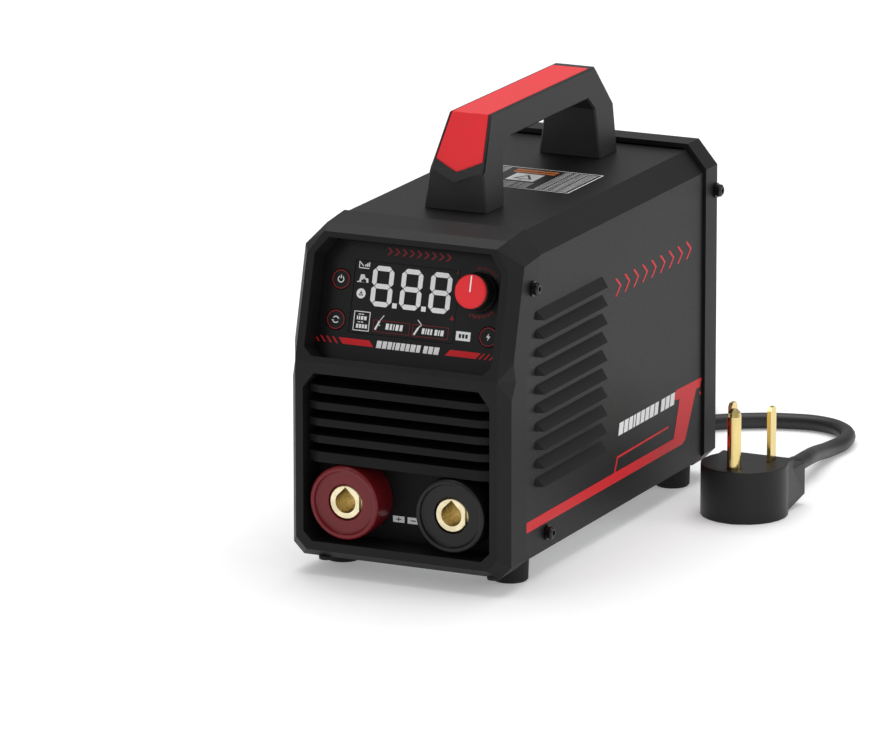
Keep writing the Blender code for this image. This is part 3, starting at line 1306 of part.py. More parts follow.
def make_cord():
    cord_tube("cord_lead", LEAD_POINTS)
    cord_tube("cord_tail", TAIL_POINTS)
    height = COIL_LAYERS * CORD_DIAMETER
    round_off = CORD_DIAMETER * 0.3
    r0, r1 = COIL_INNER, COIL_OUTER
    ring = [(r0, height - round_off), (r0 + round_off, height), (r1 - round_off, height),
            (r1, height - round_off), (r1, round_off), (r1 - round_off, 0),
            (r0 + round_off, 0), (r0, round_off)]
    turned("cord_coil", ring, RUBBER, 32, Matrix.Translation((*COIL_CENTRE, 0)))


def plug_outline():
    """Plan of the plug: round in front, drawn in to a neck towards the cord."""
    cx, cy = PLUG_CENTRE
    r = PLUG_RADIUS
    neck, reach = PLUG_NECK
    points = [(cx + neck, cy + reach), (cx - neck, cy + reach)]
    for step in range(17):
        angle = math.radians(150 + 240 * step / 16)
        points.append((cx + r * math.cos(angle), cy + r * math.sin(angle)))
    return points


def make_plug():
    """Moulded plug lying on its back, its pins up and its cord leaving to the rear."""
    cx, cy = PLUG_CENTRE
    flat = axes((1, 0, 0), (0, 1, 0), (0, 0, 0))
    body = prism("plug_body", [plug_outline()], flat, PLUG_HEIGHT, RUBBER)
    reach = PLUG_NECK[1]
    back = cy + reach
    step = (cx - PLUG_RADIUS - 0.01, cx + PLUG_RADIUS + 0.01, cy + reach - 0.016, back + 0.01,
            PLUG_NECK_TOP, PLUG_HEIGHT + 0.01)
    boolean(body, boxes("plug_step", [step]))
    slope = PLUG_NECK_UNDER / (reach - 0.010)
    under = [(cy, -0.010 * slope), (cy, -0.01), (back + 0.01, -0.01),
             (back + 0.01, PLUG_NECK_UNDER + 0.01 * slope)]
    boolean(body, prism("plug_under", [under], across_x(cx - 0.05), 0.10))
    soften = body.modifiers.new("edges", "BEVEL")
    soften.width = PLUG_EDGE
    soften.segments = 2
    soften.limit_method = "ANGLE"
    soften.angle_limit = math.radians(50)
    exit_x, exit_y, exit_z = TAIL_POINTS[-1]
    start = back - 0.004
    relief = toward((0, 1, 0), (exit_x, start, exit_z))
    length = exit_y - RELIEF_CLEARANCE - start
    taper = [(0, length), (CORD_DIAMETER / 2 + 0.0006, length), (RELIEF_ROOT, 0), (0, 0)]
    boolean(body, turned("plug_relief", taper, None, 20, relief), "UNION")
    pins = (("plug_blade_left", -PIN_SPACING / 2, PIN_ROW), ("plug_blade_right", PIN_SPACING / 2, PIN_ROW))
    thick, wide, tall = BLADE_SIZE
    root = 0.0100
    for name, dx, dy in pins:
        x, y = cx + dx, cy + dy
        low, high = PLUG_HEIGHT - root, PLUG_HEIGHT + tall
        profile = [(y - wide / 2, low), (y + wide / 2, low), (y + wide / 2, high - 0.002),
                   (y + wide / 2 - 0.002, high), (y - wide / 2 + 0.002, high),
                   (y - wide / 2, high - 0.002)]
        prism(name, [profile], across_x(x - thick / 2), thick, BRASS)
        slot = boxes(f"{name}_slot", [(x - thick / 2 - GAP, x + thick / 2 + GAP, y - wide / 2 - GAP,
                                       y + wide / 2 + GAP, low - GAP, PLUG_HEIGHT + 0.01)])
        boolean(body, slot)
    spot = Matrix.Translation((cx, cy + GROUND_ROW, PLUG_HEIGHT - root))
    r = GROUND_RADIUS
    tip = root + GROUND_LENGTH
    pin = [(0, tip), (r * 0.5, tip - 0.0006), (r * 0.9, tip - 0.0026), (r, tip - 0.0050), (r, 0), (0, 0)]
    turned("plug_ground_pin", pin, BRASS, 24, spot)
    drill = spot @ Matrix.Translation((0, 0, -GAP))
    boolean(body, cylinder("ground_bore", r + GAP, root + 0.01, drill, None, 24))
    return body


# ---------------------------------------------------------------- assembly

front_bezel = make_bezel()
make_grille()
make_socket("positive", -1, RED_SOCKET)
make_socket("negative", 1, BLACK_PLASTIC)
make_panel()
make_cover()
make_tray()
rear_frame = make_rear_frame()
make_rear_panel()
make_switch()
make_handle()
make_case_screws(front_bezel, rear_frame)
make_feet()
make_main_board()
make_fan()
make_gland()
make_cord()
make_plug()
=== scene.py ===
"""Stick welding inverter: finishes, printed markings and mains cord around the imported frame."""
import math

import bmesh
import bpy
from mathutils import Matrix, Vector


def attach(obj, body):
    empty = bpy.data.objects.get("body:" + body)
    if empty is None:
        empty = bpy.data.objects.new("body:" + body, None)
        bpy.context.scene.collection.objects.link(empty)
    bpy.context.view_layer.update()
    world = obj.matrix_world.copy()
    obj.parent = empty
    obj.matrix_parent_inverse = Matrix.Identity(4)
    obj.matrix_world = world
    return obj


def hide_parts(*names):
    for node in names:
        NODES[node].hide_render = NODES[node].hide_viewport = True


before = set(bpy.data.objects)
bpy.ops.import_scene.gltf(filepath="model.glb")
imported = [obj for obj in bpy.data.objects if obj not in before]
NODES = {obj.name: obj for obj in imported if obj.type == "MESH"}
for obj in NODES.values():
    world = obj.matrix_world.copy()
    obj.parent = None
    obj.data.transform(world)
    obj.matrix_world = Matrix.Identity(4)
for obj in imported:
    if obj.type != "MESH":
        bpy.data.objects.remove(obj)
bpy.context.view_layer.update()
STAGE = bpy.context.scene.collection

# ---------------------------------------------------------------- places on the object
MM = 0.001
TILT = math.radians(15.25)
FRONT_Y = -0.1555           # front rim of the bezel
KINK_HEIGHT = 0.1282        # where the face starts to lean back
SIDE_X = 0.0682             # outside of the sheet cover
COVER_TOP = 0.2060          # upper side of the sheet cover
PLATE_Y = FRONT_Y + 0.0217  # grille plate behind the sockets
REAR_Y = 0.1492             # outside of the rear panel
SOCKET_AT = (0.034, 0.0454)     # output socket's axis: distance from the middle, and height
FAN_HEIGHT = 0.1280
FAN_SCREW_REACH = 0.041     # from the fan's axis, both ways
INK = 0.00008               # thickness of a printed layer
INK_GAP = 0.00002           # between a surface and what is printed on it

# Depths square to the tilted face, behind the front rim, and places on it in millimetres
PANEL_DEPTH = 0.0153
WINDOW_DEPTH = 0.0155
KEY_DEPTH = 0.0149
DIAL_CAP_DEPTH = 0.0018
DIAL_X, DIAL_RISE = 40.4, 50.6
DIGIT_X, DIGIT_RISE, DIGIT_PITCH = -28.3, 36.1, 18.6
DIGIT_WIDTH, DIGIT_HEIGHT, DIGIT_LINE = 13.6, 23.6, 2.9

# ---------------------------------------------------------------- mains cord's route
CORD_DIAMETER = 0.0100
COIL_CENTRE = Vector((-0.0580, 0.2500, 0.0))
COIL_MIDDLE = 0.055         # radius half way between the inner and outer turns
LEAD_ANGLE, TAIL_ANGLE = 30.4, 1425.8      # where the lead joins the coil and the tail leaves it
LEAD_POINTS = (
    (0.0100, 0.1779, 0.0560), (0.0102, 0.1930, 0.0550), (0.0120, 0.2080, 0.0495),
    (0.0150, 0.2270, 0.0370), (0.0150, 0.2480, 0.0250), (0.0115, 0.2680, 0.0175),
    (0.0030, 0.2858, 0.0152),
)
TAIL_POINTS = (
    (0.0097, 0.2329, 0.0051), (0.0240, 0.2470, 0.0051), (0.0430, 0.2610, 0.0051),
    (0.0660, 0.2705, 0.0051), (0.0890, 0.2725, 0.0051), (0.1075, 0.2620, 0.0051),
    (0.1165, 0.2420, 0.0051), (0.1165, 0.2150, 0.0060), (0.1190, 0.1880, 0.0100),
    (0.1225, 0.1640, 0.0130), (0.1225, 0.1560, 0.0130), (0.1225, 0.1466, 0.0130),
)

# ---------------------------------------------------------------- studio
LIGHTS = (                  # name, place, size, power
    ("overhead", (-0.2, 0.5, 2.4), (2.4, 2.4), 46),
    ("right_panel", (2.4, 0.9, 1.1), (1.0, 1.6), 10),
    ("front_fill", (-1.5, -2.6, 1.5), (1.2, 1.0), 6),
    ("right_front", (1.9, -2.3, 0.9), (0.7, 1.0), 8),
)
LIGHTS_AIM = (0, 0, 0.1)
SKY_STRENGTH = 0.42
FLOOR_SIZE = 8
FLOOR_GLOW = 0.22


def face_place(x, rise, depth):
    """Matrix of a spot on the tilted face: u to the right, v up the face, w out of it."""
    up = Vector((0, math.sin(TILT), math.cos(TILT)))
    out = Vector((0, -math.cos(TILT), math.sin(TILT)))
    corner = Vector((x, FRONT_Y, KINK_HEIGHT)) + rise * up - depth * out
    return placed((1, 0, 0), up, out, corner)


def placed(u, v, w, corner):
    """Matrix with three axes at a corner."""
    axes = Matrix((Vector(u), Vector(v), Vector(w))).transposed().to_4x4()
    return Matrix.Translation(corner) @ axes


def side_place(side):
    """Matrix of the cover's side: u towards the rear, v up."""
    return placed((0, side, 0), (0, 0, 1), (side, 0, 0), (side * SIDE_X, 0, 0))


def top_place(lift=0.0):
    """Matrix of the cover's top: u to the right, v towards the rear."""
    return placed((1, 0, 0), (0, 1, 0), (0, 0, 1), (0, 0, COVER_TOP + lift))


def rear_place(x, height, lift=0.0):
    """Matrix of a spot on the rear panel: u to the left, v up."""
    return placed((-1, 0, 0), (0, 0, 1), (0, 1, 0), (x, REAR_Y + lift, height))


# ---------------------------------------------------------------- camera, light and floor

def add_camera():
    """Long lens from the front right, a little above."""
    lens = bpy.data.cameras.new("camera")
    lens.lens = 325.8
    lens.sensor_width = 36
    lens.clip_end = 20
    camera = bpy.data.objects.new("camera", lens)
    STAGE.objects.link(camera)
    right = Vector((0.9034, 0.4289, -0.0012)).normalized()
    up = Vector((-0.1048, 0.2236, 0.9690))
    up = (up - right * up.dot(right)).normalized()
    camera.matrix_world = placed(right, up, right.cross(up), (1.9400, -4.1759, 1.2673))
    bpy.context.scene.camera = camera


def add_light(name, place, size, power):
    """A rectangular lamp that faces the object."""
    lamp = bpy.data.lights.new(name, "AREA")
    lamp.shape = "RECTANGLE"
    lamp.size, lamp.size_y = size
    lamp.energy = power
    light = bpy.data.objects.new(name, lamp)
    STAGE.objects.link(light)
    light.location = place
    light.rotation_euler = (Vector(LIGHTS_AIM) - Vector(place)).to_track_quat("-Z", "Y").to_euler()


def add_studio():
    """White surroundings and floor, with the lamps."""
    scene = bpy.context.scene
    scene.view_settings.view_transform = "Standard"
    scene.world = bpy.data.worlds.new("studio")
    scene.world.use_nodes = True
    sky = scene.world.node_tree.nodes["Background"]
    sky.inputs["Color"].default_value = (1, 1, 1, 1)
    sky.inputs["Strength"].default_value = SKY_STRENGTH
    for name, place, size, power in LIGHTS:
        add_light(name, place, size, power)
    bpy.ops.mesh.primitive_plane_add(size=FLOOR_SIZE, location=(0, 0.5, 0))
    floor = bpy.context.object
    floor.name = "studio_floor"
    paint = Finish("floor_paper")
    grain = paint.noise(60, detail=3)
    dull, clean = (0.88, 0.88, 0.885), (0.90, 0.90, 0.905)
    paint.set({"Base Color": paint.ramp(grain, (0.3, dull), (0.7, clean)), "Roughness": 0.85,
               "Emission Color": (1, 1, 1), "Emission Strength": FLOOR_GLOW})
    floor.data.materials.append(paint.made)


# ---------------------------------------------------------------- finishes

class Value:
    """A socket's output. Arithmetic on it adds Math nodes to its material."""

    def __init__(self, finish, socket):
        self.finish = finish
        self.socket = socket

    def _math(self, operation, first, second):
        return self.finish.add("Math", {0: first, 1: second}, operation=operation)

    def __add__(self, other):
        return self._math("ADD", self, other)

    def __sub__(self, other):
        return self._math("SUBTRACT", self, other)

    def __rsub__(self, other):
        return self._math("SUBTRACT", other, self)

    def __mul__(self, other):
        return self._math("MULTIPLY", self, other)

    def __pow__(self, other):
        return self._math("POWER", self, other)

    def __gt__(self, other):
        return self._math("GREATER_THAN", self, other)

    __radd__ = __add__
    __rmul__ = __mul__


class Finish:
    """A material under construction, with its nodes added through one method."""

    def __init__(self, name):
        self.made = bpy.data.materials.new(name)
        self.made.use_nodes = True
        self.tree = self.made.node_tree
        self.shader = self.tree.nodes["Principled BSDF"]

    def add(self, kind, inputs=None, output=0, stops=None, **settings):
        node = self.tree.nodes.new("ShaderNode" + kind)
        for key, value in settings.items():
            setattr(node, key, value)
        if stops:
            ramp = node.color_ramp
            while len(ramp.elements) < len(stops):
                ramp.elements.new(1.0)
            for element, (position, colour) in zip(ramp.elements, stops):
                element.position = position
                element.color = (*colour, 1.0)
        for key, value in (inputs or {}).items():
            self.feed(node.inputs[key], value)
        return Value(self, node.outputs[output])

    def feed(self, socket, value):
        if isinstance(value, Value):
            self.tree.links.new(value.socket, socket)
        elif socket.type == "RGBA":
            socket.default_value = (*value, 1.0)
        else:
            socket.default_value = value

    def set(self, values):
        for key, value in values.items():
            self.feed(self.shader.inputs[key], value)

    def place(self):
        return self.add("TexCoord", output="Object")

    def noise(self, scale, detail=2, stretch=(1, 1, 1), roughness=0.5):
        spot = self.add("Mapping", {"Vector": self.place(), "Scale": stretch})
        return self.add("TexNoise", {"Vector": spot, "Scale": scale, "Detail": detail,
                                     "Roughness": roughness})

    def ramp(self, value, *stops):
        return self.add("ValToRGB", {"Fac": value}, stops=stops)

    def bump(self, height, strength, depth):
        dent = self.add("Bump", {"Height": height, "Strength": strength, "Distance": depth})
        self.set({"Normal": dent})


def grey(level):
    return (level, level, level * 1.05)


def moulded(name, colour, roughness, grain=1500, depth=0.00006, spread=0.25, sheen=0.32, coat=0.0):
    """Injection moulded plastic: a fine spark-eroded grain and slightly uneven gloss."""
    paint = Finish(name)
    fine = paint.noise(grain, detail=3)
    broad = paint.noise(28, detail=3)
    dark = tuple(c * (1 - spread) for c in colour)
    light = tuple(min(1, c * (1 + spread)) for c in colour)
    paint.set({"Base Color": paint.ramp(broad * 0.6 + fine * 0.4, (0.30, dark), (0.70, light)),
               "Roughness": roughness + (fine - 0.5) * 0.12 + (broad - 0.5) * 0.10,
               "Specular IOR Level": sheen, "Coat Weight": coat})
    paint.bump(fine, 0.55, depth)
    return paint.made


def powder_coat(name, colour):
    """Baked powder on sheet steel: shallow orange peel with sparse fine specks."""
    paint = Finish(name)
    peel = paint.noise(900, detail=2)
    broad = paint.noise(14, detail=3)
    speck = paint.noise(2600, detail=1)
    dark = tuple(c * 0.80 for c in colour)
    light = tuple(c * 1.25 for c in colour)
    paint.set({"Base Color": paint.ramp(broad * 0.5 + speck * 0.5, (0.32, dark), (0.68, light)),
               "Roughness": 0.46 + (peel - 0.5) * 0.14 + (broad - 0.5) * 0.06,
               "Specular IOR Level": 0.22})
    paint.bump(peel, 0.5, 0.00007)
    return paint.made


def ink(name, colour, roughness=0.45, glow=0.0):
    """Screen-printed ink: nearly flat, with the mesh's fine unevenness."""
    paint = Finish(name)
    weave = paint.noise(3000, detail=2)
    thin = tuple(c * 0.86 for c in colour)
    tone = paint.ramp(weave, (0.35, thin), (0.65, colour))
    paint.set({"Base Color": tone, "Roughness": roughness + (weave - 0.5) * 0.15,
               "Specular IOR Level": 0.25})
    if glow:
        paint.set({"Emission Color": tone, "Emission Strength": glow})
    paint.bump(weave, 0.2, 0.00003)
    return paint.made


def panel_film():
    """Printed polyester film over the display: smooth, satin and nearly black."""
    paint = Finish("panel_film")
    haze = paint.noise(30, detail=4)
    fine = paint.noise(2200, detail=2)
    paint.set({"Base Color": paint.ramp(haze, (0.35, grey(0.004)), (0.65, grey(0.007))),
               "Roughness": 0.30 + haze * 0.12, "Specular IOR Level": 0.22})
    paint.bump(fine, 0.25, 0.00002)
    return paint.made


def turned_metal(name, colour, centres, roughness=0.22):
    """Lathe-turned metal: fine rings about each axis along Y, and a little tarnish."""
    paint = Finish(name)
    paint.set({"Metallic": 1.0})
    tarnish = paint.noise(160, detail=4)
    split = paint.add("SeparateXYZ", {0: paint.place()})
    across = Value(paint, split.socket.node.outputs["X"])
    height = Value(paint, split.socket.node.outputs["Z"])
    side = paint.add("Math", {0: across}, operation="ABSOLUTE")
    radius = ((side - centres[0]) ** 2 + (height - centres[1]) ** 2) ** 0.5
    rings = paint.add("Math", {0: radius * 9000}, operation="SINE")
    deep = tuple(c * 0.78 for c in colour)
    paint.set({"Base Color": paint.ramp(tarnish, (0.35, deep), (0.62, colour)),
               "Roughness": roughness + (tarnish - 0.5) * 0.18 + rings * 0.03})
    paint.bump(rings, 0.35, 0.00002)
    return paint.made


def drawn_metal(name, colour, roughness, stretch, scale=420, depth=0.00004):
    """Rolled, drawn or brushed metal with its grain along one direction."""
    paint = Finish(name)
    paint.set({"Metallic": 1.0})
    streak = paint.noise(scale, detail=3, stretch=stretch)
    cloud = paint.noise(45, detail=4)
    deep = tuple(c * 0.80 for c in colour)
    paint.set({"Base Color": paint.ramp(cloud * 0.5 + streak * 0.5, (0.35, deep), (0.65, colour)),
               "Roughness": roughness + (streak - 0.5) * 0.25})
    paint.bump(streak, 0.35, depth)
    return paint.made


def wound_wire(name, colour, pitch, axis):
    """Enamelled wire laid turn by turn: rounded ridges across one axis, with painted shade
    darkening the grooves between turns.
    """
    paint = Finish(name)
    split = paint.add("SeparateXYZ", {0: paint.place()}).socket.node
    along = Value(paint, split.outputs[axis])
    ridge = paint.add("Math", {0: along * (2 * math.pi / pitch)}, operation="SINE")
    uneven = paint.noise(220, detail=3)
    deep = tuple(c * 0.45 for c in colour)
    # colour darker where the ridges are low: painted shade in the grooves, plus random unevenness
    # in tone
    groove_shade_and_tone = ridge * 0.35 + uneven * 0.3 + 0.35
    paint.set({"Base Color": paint.ramp(groove_shade_and_tone, (0.25, deep), (0.75, colour)),
               "Roughness": 0.32 + uneven * 0.12, "Metallic": 0.35})
    paint.bump(ridge, 0.8, 0.0004)
    return paint.made


def circuit_board():
    """Solder mask over etched copper: straight tracks showing as slight ridges."""
    paint = Finish("solder_mask")
    track = paint.add("TexVoronoi", {"Vector": paint.place(), "Scale": 260},
                      distance="MANHATTAN", feature="F1")
    cloud = paint.noise(90, detail=3)
    line = track > 0.42
    paint.set({"Base Color": paint.ramp(line * 0.6 + cloud * 0.4, (0.2, (0.006, 0.045, 0.018)),
                                        (0.85, (0.02, 0.12, 0.045))),
               "Roughness": 0.30 + cloud * 0.2})
    paint.bump(line, 0.3, 0.00005)
    return paint.made


def cord_jacket():
    """Soft PVC jacket, matte, with faint lengthwise drawing marks and dust."""
    paint = Finish("cord_jacket")
    fine = paint.noise(1300, detail=3)
    dust = paint.noise(70, detail=5)
    paint.set({"Base Color": paint.ramp(dust, (0.35, grey(0.006)), (0.72, grey(0.012))),
               "Roughness": 0.46 + (dust - 0.5) * 0.2})
    paint.bump(fine, 0.4, 0.00005)
    return paint.made


BLACK_ABS = moulded("moulded_black", grey(0.010), 0.48, sheen=0.18)
HANDLE_ABS = moulded("handle_black", grey(0.019), 0.47)
GRILLE_ABS = moulded("grille_black", grey(0.005), 0.52, sheen=0.16)
STEEL_COAT = powder_coat("powder_coat_black", grey(0.006))
RED_SKIN = moulded("red_soft_touch", (0.80, 0.024, 0.032), 0.42, spread=0.06)
RED_COLLAR = moulded("red_collar", (0.15, 0.006, 0.010), 0.30, spread=0.18, coat=0.12)
BLACK_COLLAR = moulded("black_collar", grey(0.006), 0.34)
NYLON = moulded("nylon_black", grey(0.010), 0.46)
PANEL_FILM = panel_film()
RUBBER = moulded("foot_rubber", grey(0.012), 0.75, grain=900, depth=0.0001)
PLUG_PVC = moulded("plug_pvc", grey(0.0055), 0.42, grain=1100)
BRASS = turned_metal("turned_brass", (0.90, 0.79, 0.52), SOCKET_AT)
GOLD_PIN = drawn_metal("polished_pin", (0.83, 0.66, 0.28), 0.16, (1, 1, 0.1), scale=900)
COPPER = drawn_metal("rolled_copper", (0.72, 0.32, 0.18), 0.34, (1, 0.1, 1))
ZINC = drawn_metal("zinc_plate", (0.52, 0.53, 0.54), 0.36, (1, 0.08, 1))
OXIDE = drawn_metal("black_oxide", (0.045, 0.045, 0.048), 0.34, (1, 1, 1), scale=1500)
FINNED = drawn_metal("extruded_aluminium", (0.66, 0.67, 0.68), 0.34, (1, 0.06, 1))
BOARD = circuit_board()
FERRITE = moulded("sintered_ferrite", grey(0.05), 0.62, grain=700, depth=0.0001)
WINDING = wound_wire("enamelled_winding", (0.50, 0.15, 0.05), 0.0016, "Z")
CHOKE_WIRE = wound_wire("choke_wire", (0.52, 0.17, 0.06), 0.0018, "X")
SLEEVE = moulded("capacitor_sleeve", (0.018, 0.026, 0.085), 0.28, spread=0.15)
JACKET = cord_jacket()
WHITE_INK = ink("white_ink", (0.90, 0.90, 0.90))
LIT_WHITE = ink("lit_white", (0.66, 0.66, 0.67), glow=0.24)
RED_INK = ink("red_ink", (0.70, 0.012, 0.019))
DIM_RED = ink("dim_red_ink", (0.22, 0.010, 0.014), roughness=0.35)
KEY_RED = ink("key_ring_ink", (0.36, 0.014, 0.020), roughness=0.35)
ORANGE_INK = ink("orange_ink", (0.75, 0.22, 0.04))
BLACK_INK = ink("black_ink", grey(0.010))
SILVER_FILM = drawn_metal("silver_film", (0.55, 0.56, 0.57), 0.30, (0.1, 1, 1), scale=700,
                          depth=0.00001)

NODE_FINISH = {
    BLACK_ABS: ("front_bezel", "rear_frame"),
    GRILLE_ABS: ("front_grille",),
    HANDLE_ABS: ("handle_body",),
    STEEL_COAT: ("top_cover", "rear_panel"),
    PANEL_FILM: ("display_panel", "display_window", "digit_display", "power_button", "mode_button",
                 "vrd_button"),
    RED_SKIN: ("handle_inlay", "dial_cap", "power_rocker"),
    RED_COLLAR: ("socket_collar_positive",),
    BLACK_COLLAR: ("socket_collar_negative",),
    NYLON: ("dial_knob", "socket_nut_negative", "socket_nut_positive", "switch_body", "cord_gland",
            "fan_frame", "fan_rotor"),
    RUBBER: ("foot_front_left", "foot_front_right", "foot_rear_left", "foot_rear_right"),
    PLUG_PVC: ("plug_body",),
    BRASS: ("socket_insert_negative", "socket_insert_positive"),
    GOLD_PIN: ("plug_blade_left", "plug_blade_right", "plug_ground_pin"),
    COPPER: ("busbar_negative", "busbar_positive"),
    ZINC: ("base_tray", "dial_shaft", "dial_encoder"),
    OXIDE: ("bezel_screw_left", "bezel_screw_right", "rear_screw_left", "rear_screw_right",
            "tray_screw_left", "tray_screw_right", "handle_screw_front", "handle_screw_rear"),
    FINNED: ("heatsink_left", "heatsink_right"),
    BOARD: ("main_board", "display_board"),
    FERRITE: ("transformer_core",),
    WINDING: ("transformer_winding",),
    CHOKE_WIRE: ("output_choke",),
    SLEEVE: ("capacitor_1", "capacitor_2"),
    JACKET: ("cord_coil", "cord_lead", "cord_tail"),
}


def paint(piece, finish):
    piece.data.materials.clear()
    piece.data.materials.append(finish)


def paint_nodes():
    """Gives every frame node its finish."""
    for finish, names in NODE_FINISH.items():
        for name in names:
            for slot in NODES[name].material_slots:
                slot.material = finish


# ---------------------------------------------------------------- shaping helpers

def only(piece):
    """Makes one piece the selected and active one."""
    bpy.ops.object.select_all(action="DESELECT")
    piece.select_set(True)
    bpy.context.view_layer.objects.active = piece


def bevel(piece, name, width, segments, angle=30):
    """A Bevel modifier on the edges that are sharper than an angle; it isn't applied."""
    edges = piece.modifiers.new(name, "BEVEL")
    edges.width = width
    edges.segments = segments
    edges.limit_method = "ANGLE"
    edges.angle_limit = math.radians(angle)
    return edges


def settle(piece, finish, body="case", smooth=30):
    """Puts the piece's place into its mesh, then finishes it and hangs it on its body."""
    only(piece)
    bpy.ops.object.transform_apply(location=True, rotation=True, scale=True)
    if smooth:
        bpy.ops.object.shade_smooth_by_angle(angle=math.radians(smooth))
    paint(piece, finish)
    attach(piece, body)
    return piece


def rounded(node, width, finish, body="case", sharp=9, segments=2):
    """A merged copy of a frame node with its sharp edges rounded off, in place of the node."""
    piece = bpy.data.objects.new(f"{node}_shell", NODES[node].data.copy())
    STAGE.objects.link(piece)
    only(piece)
    bpy.ops.object.mode_set(mode="EDIT")
    bpy.ops.mesh.select_all(action="SELECT")
    bpy.ops.mesh.remove_doubles(threshold=0.000002)
    bpy.ops.mesh.customdata_custom_splitnormals_clear()
    bpy.ops.mesh.dissolve_limited(angle_limit=math.radians(0.8))
    bpy.ops.object.mode_set(mode="OBJECT")
    edges = bevel(piece, "edges", width, segments, sharp)
    edges.miter_outer = "MITER_SHARP"
    bpy.ops.object.modifier_apply(modifier=edges.name)
    settle(piece, finish, body, smooth=48)
    flat = piece.modifiers.new("flat_faces", "WEIGHTED_NORMAL")
    flat.keep_sharp = True
    flat.weight = 90
    bpy.ops.object.modifier_apply(modifier=flat.name)
    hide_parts(node)
    return piece


def stencil(name, outlines, place, finish, body="case", thickness=INK):
    """Printed shapes in millimetres, as one thin solid lying on a surface."""
    curve = bpy.data.curves.new(name, "CURVE")
    curve.dimensions = "2D"
    curve.fill_mode = "BOTH"
    curve.extrude = thickness / 2
    for outline in outlines:
        spline = curve.splines.new("POLY")
        spline.points.add(len(outline) - 1)
        for point, (u, v) in zip(spline.points, outline):
            point.co = (u * MM, v * MM, 0, 1)
        spline.use_cyclic_u = True
    piece = bpy.data.objects.new(name, curve)
    STAGE.objects.link(piece)
    piece.matrix_world = place @ Matrix.Translation((0, 0, thickness / 2 + INK_GAP))
    only(piece)
    bpy.ops.object.convert(target="MESH")
    piece = bpy.context.object
    bpy.ops.object.mode_set(mode="EDIT")
    bpy.ops.mesh.select_all(action="SELECT")
    bpy.ops.mesh.remove_doubles(threshold=0.000001)
    bpy.ops.mesh.normals_make_consistent(inside=False)
    bpy.ops.object.mode_set(mode="OBJECT")
    return settle(piece, finish, body, smooth=0)


def circle(x, y, r, steps=48, start=0.0, turn=360.0):
    """Points of a circle, or of an arc with both its ends."""
    count = steps if turn >= 360 else steps + 1
    return [(x + r * math.cos(math.radians(start + turn * k / steps)),
             y + r * math.sin(math.radians(start + turn * k / steps))) for k in range(count)]


def arc_band(x, y, inner, outer, start, turn, steps=32):
    """A ring's outline between two angles."""
    return circle(x, y, outer, steps, start, turn) + circle(x, y, inner, steps, start, turn)[::-1]


def ring(x, y, inner, outer):
    """A full ring, as two outlines."""
    return [circle(x, y, outer), circle(x, y, inner)]


def bar(x0, y0, x1, y1, lean=0.0):
    """A rectangle whose top is moved sideways by lean."""
    return [(x0, y0), (x1, y0), (x1 + lean, y1), (x0 + lean, y1)]


def frame_box(x0, y0, x1, y1, line):
    """A ruled rectangle, as two outlines."""
    return [bar(x0, y0, x1, y1), bar(x0 + line, y0 + line, x1 - line, y1 - line)]


def stroke(x0, y0, x1, y1, width):
    """A straight line of some width between two points."""
    run = Vector((x1 - x0, y1 - y0)).normalized() * (width / 2)
    nx, ny = -run.y, run.x
    return [(x0 + nx, y0 + ny), (x0 - nx, y0 - ny), (x1 - nx, y1 - ny), (x1 + nx, y1 + ny)]


def chevron(x, y, width, height, line):
    """An arrowhead pointing to the right."""
    middle, top = y + height / 2, y + height
    return [(x, y), (x + line, y), (x + width, middle), (x + line, top), (x, top),
            (x + width - line, middle)]


def tick_row(x, y, height, widths, gap, lean=0.0):
    """A row of blocks that stands in for a line of small print."""
    blocks = []
    for width in widths:
        if width > 0:
            blocks.append(bar(x, y, x + width, y + height, lean))
        x += abs(width) + gap
    return blocks


# ---------------------------------------------------------------- mains cord

def eased(angle, start, end):
    """0 to 1 between two angles, with soft ends."""
    share = min(max((angle - start) / (end - start), 0), 1)
    return 0.5 - 0.5 * math.cos(math.pi * share)


def coil_point(angle):
    """Outer top turn, inner top, inner bottom, outer bottom, each change of place spread out."""
    radius = (0.0707 - 0.0107 * eased(angle, LEAD_ANGLE, 140) - 0.0100 * eased(angle, 362, 472)
              + 0.0100 * eased(angle, 998, 1108) + 0.0098 * eased(angle, 1316, TAIL_ANGLE))
    height = 0.0152 - 0.0101 * eased(angle, 680, 790)
    turn = math.radians(angle)
    return COIL_CENTRE + Vector((radius * math.cos(turn), radius * math.sin(turn), height))


def add_cord():
    """One smooth cord along the lead, the four turns and the tail."""
    turns = [coil_point(angle) for angle in range(48, 1412, 15)]
    route = [*LEAD_POINTS, *turns, *TAIL_POINTS]
    curve = bpy.data.curves.new("mains_cord", "CURVE")
    curve.dimensions = "3D"
    curve.bevel_depth = CORD_DIAMETER / 2
    curve.bevel_resolution = 5
    curve.resolution_u = 6
    curve.use_fill_caps = True
    spline = curve.splines.new("BEZIER")
    spline.bezier_points.add(len(route) - 1)
    for point, spot in zip(spline.bezier_points, route):
        point.co = spot
        point.handle_left_type = point.handle_right_type = "AUTO"
    cord = bpy.data.objects.new("mains_cord", curve)
    STAGE.objects.link(cord)
    paint(cord, JACKET)
    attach(cord, "case")
    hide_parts("cord_lead", "cord_coil", "cord_tail")
    return cord


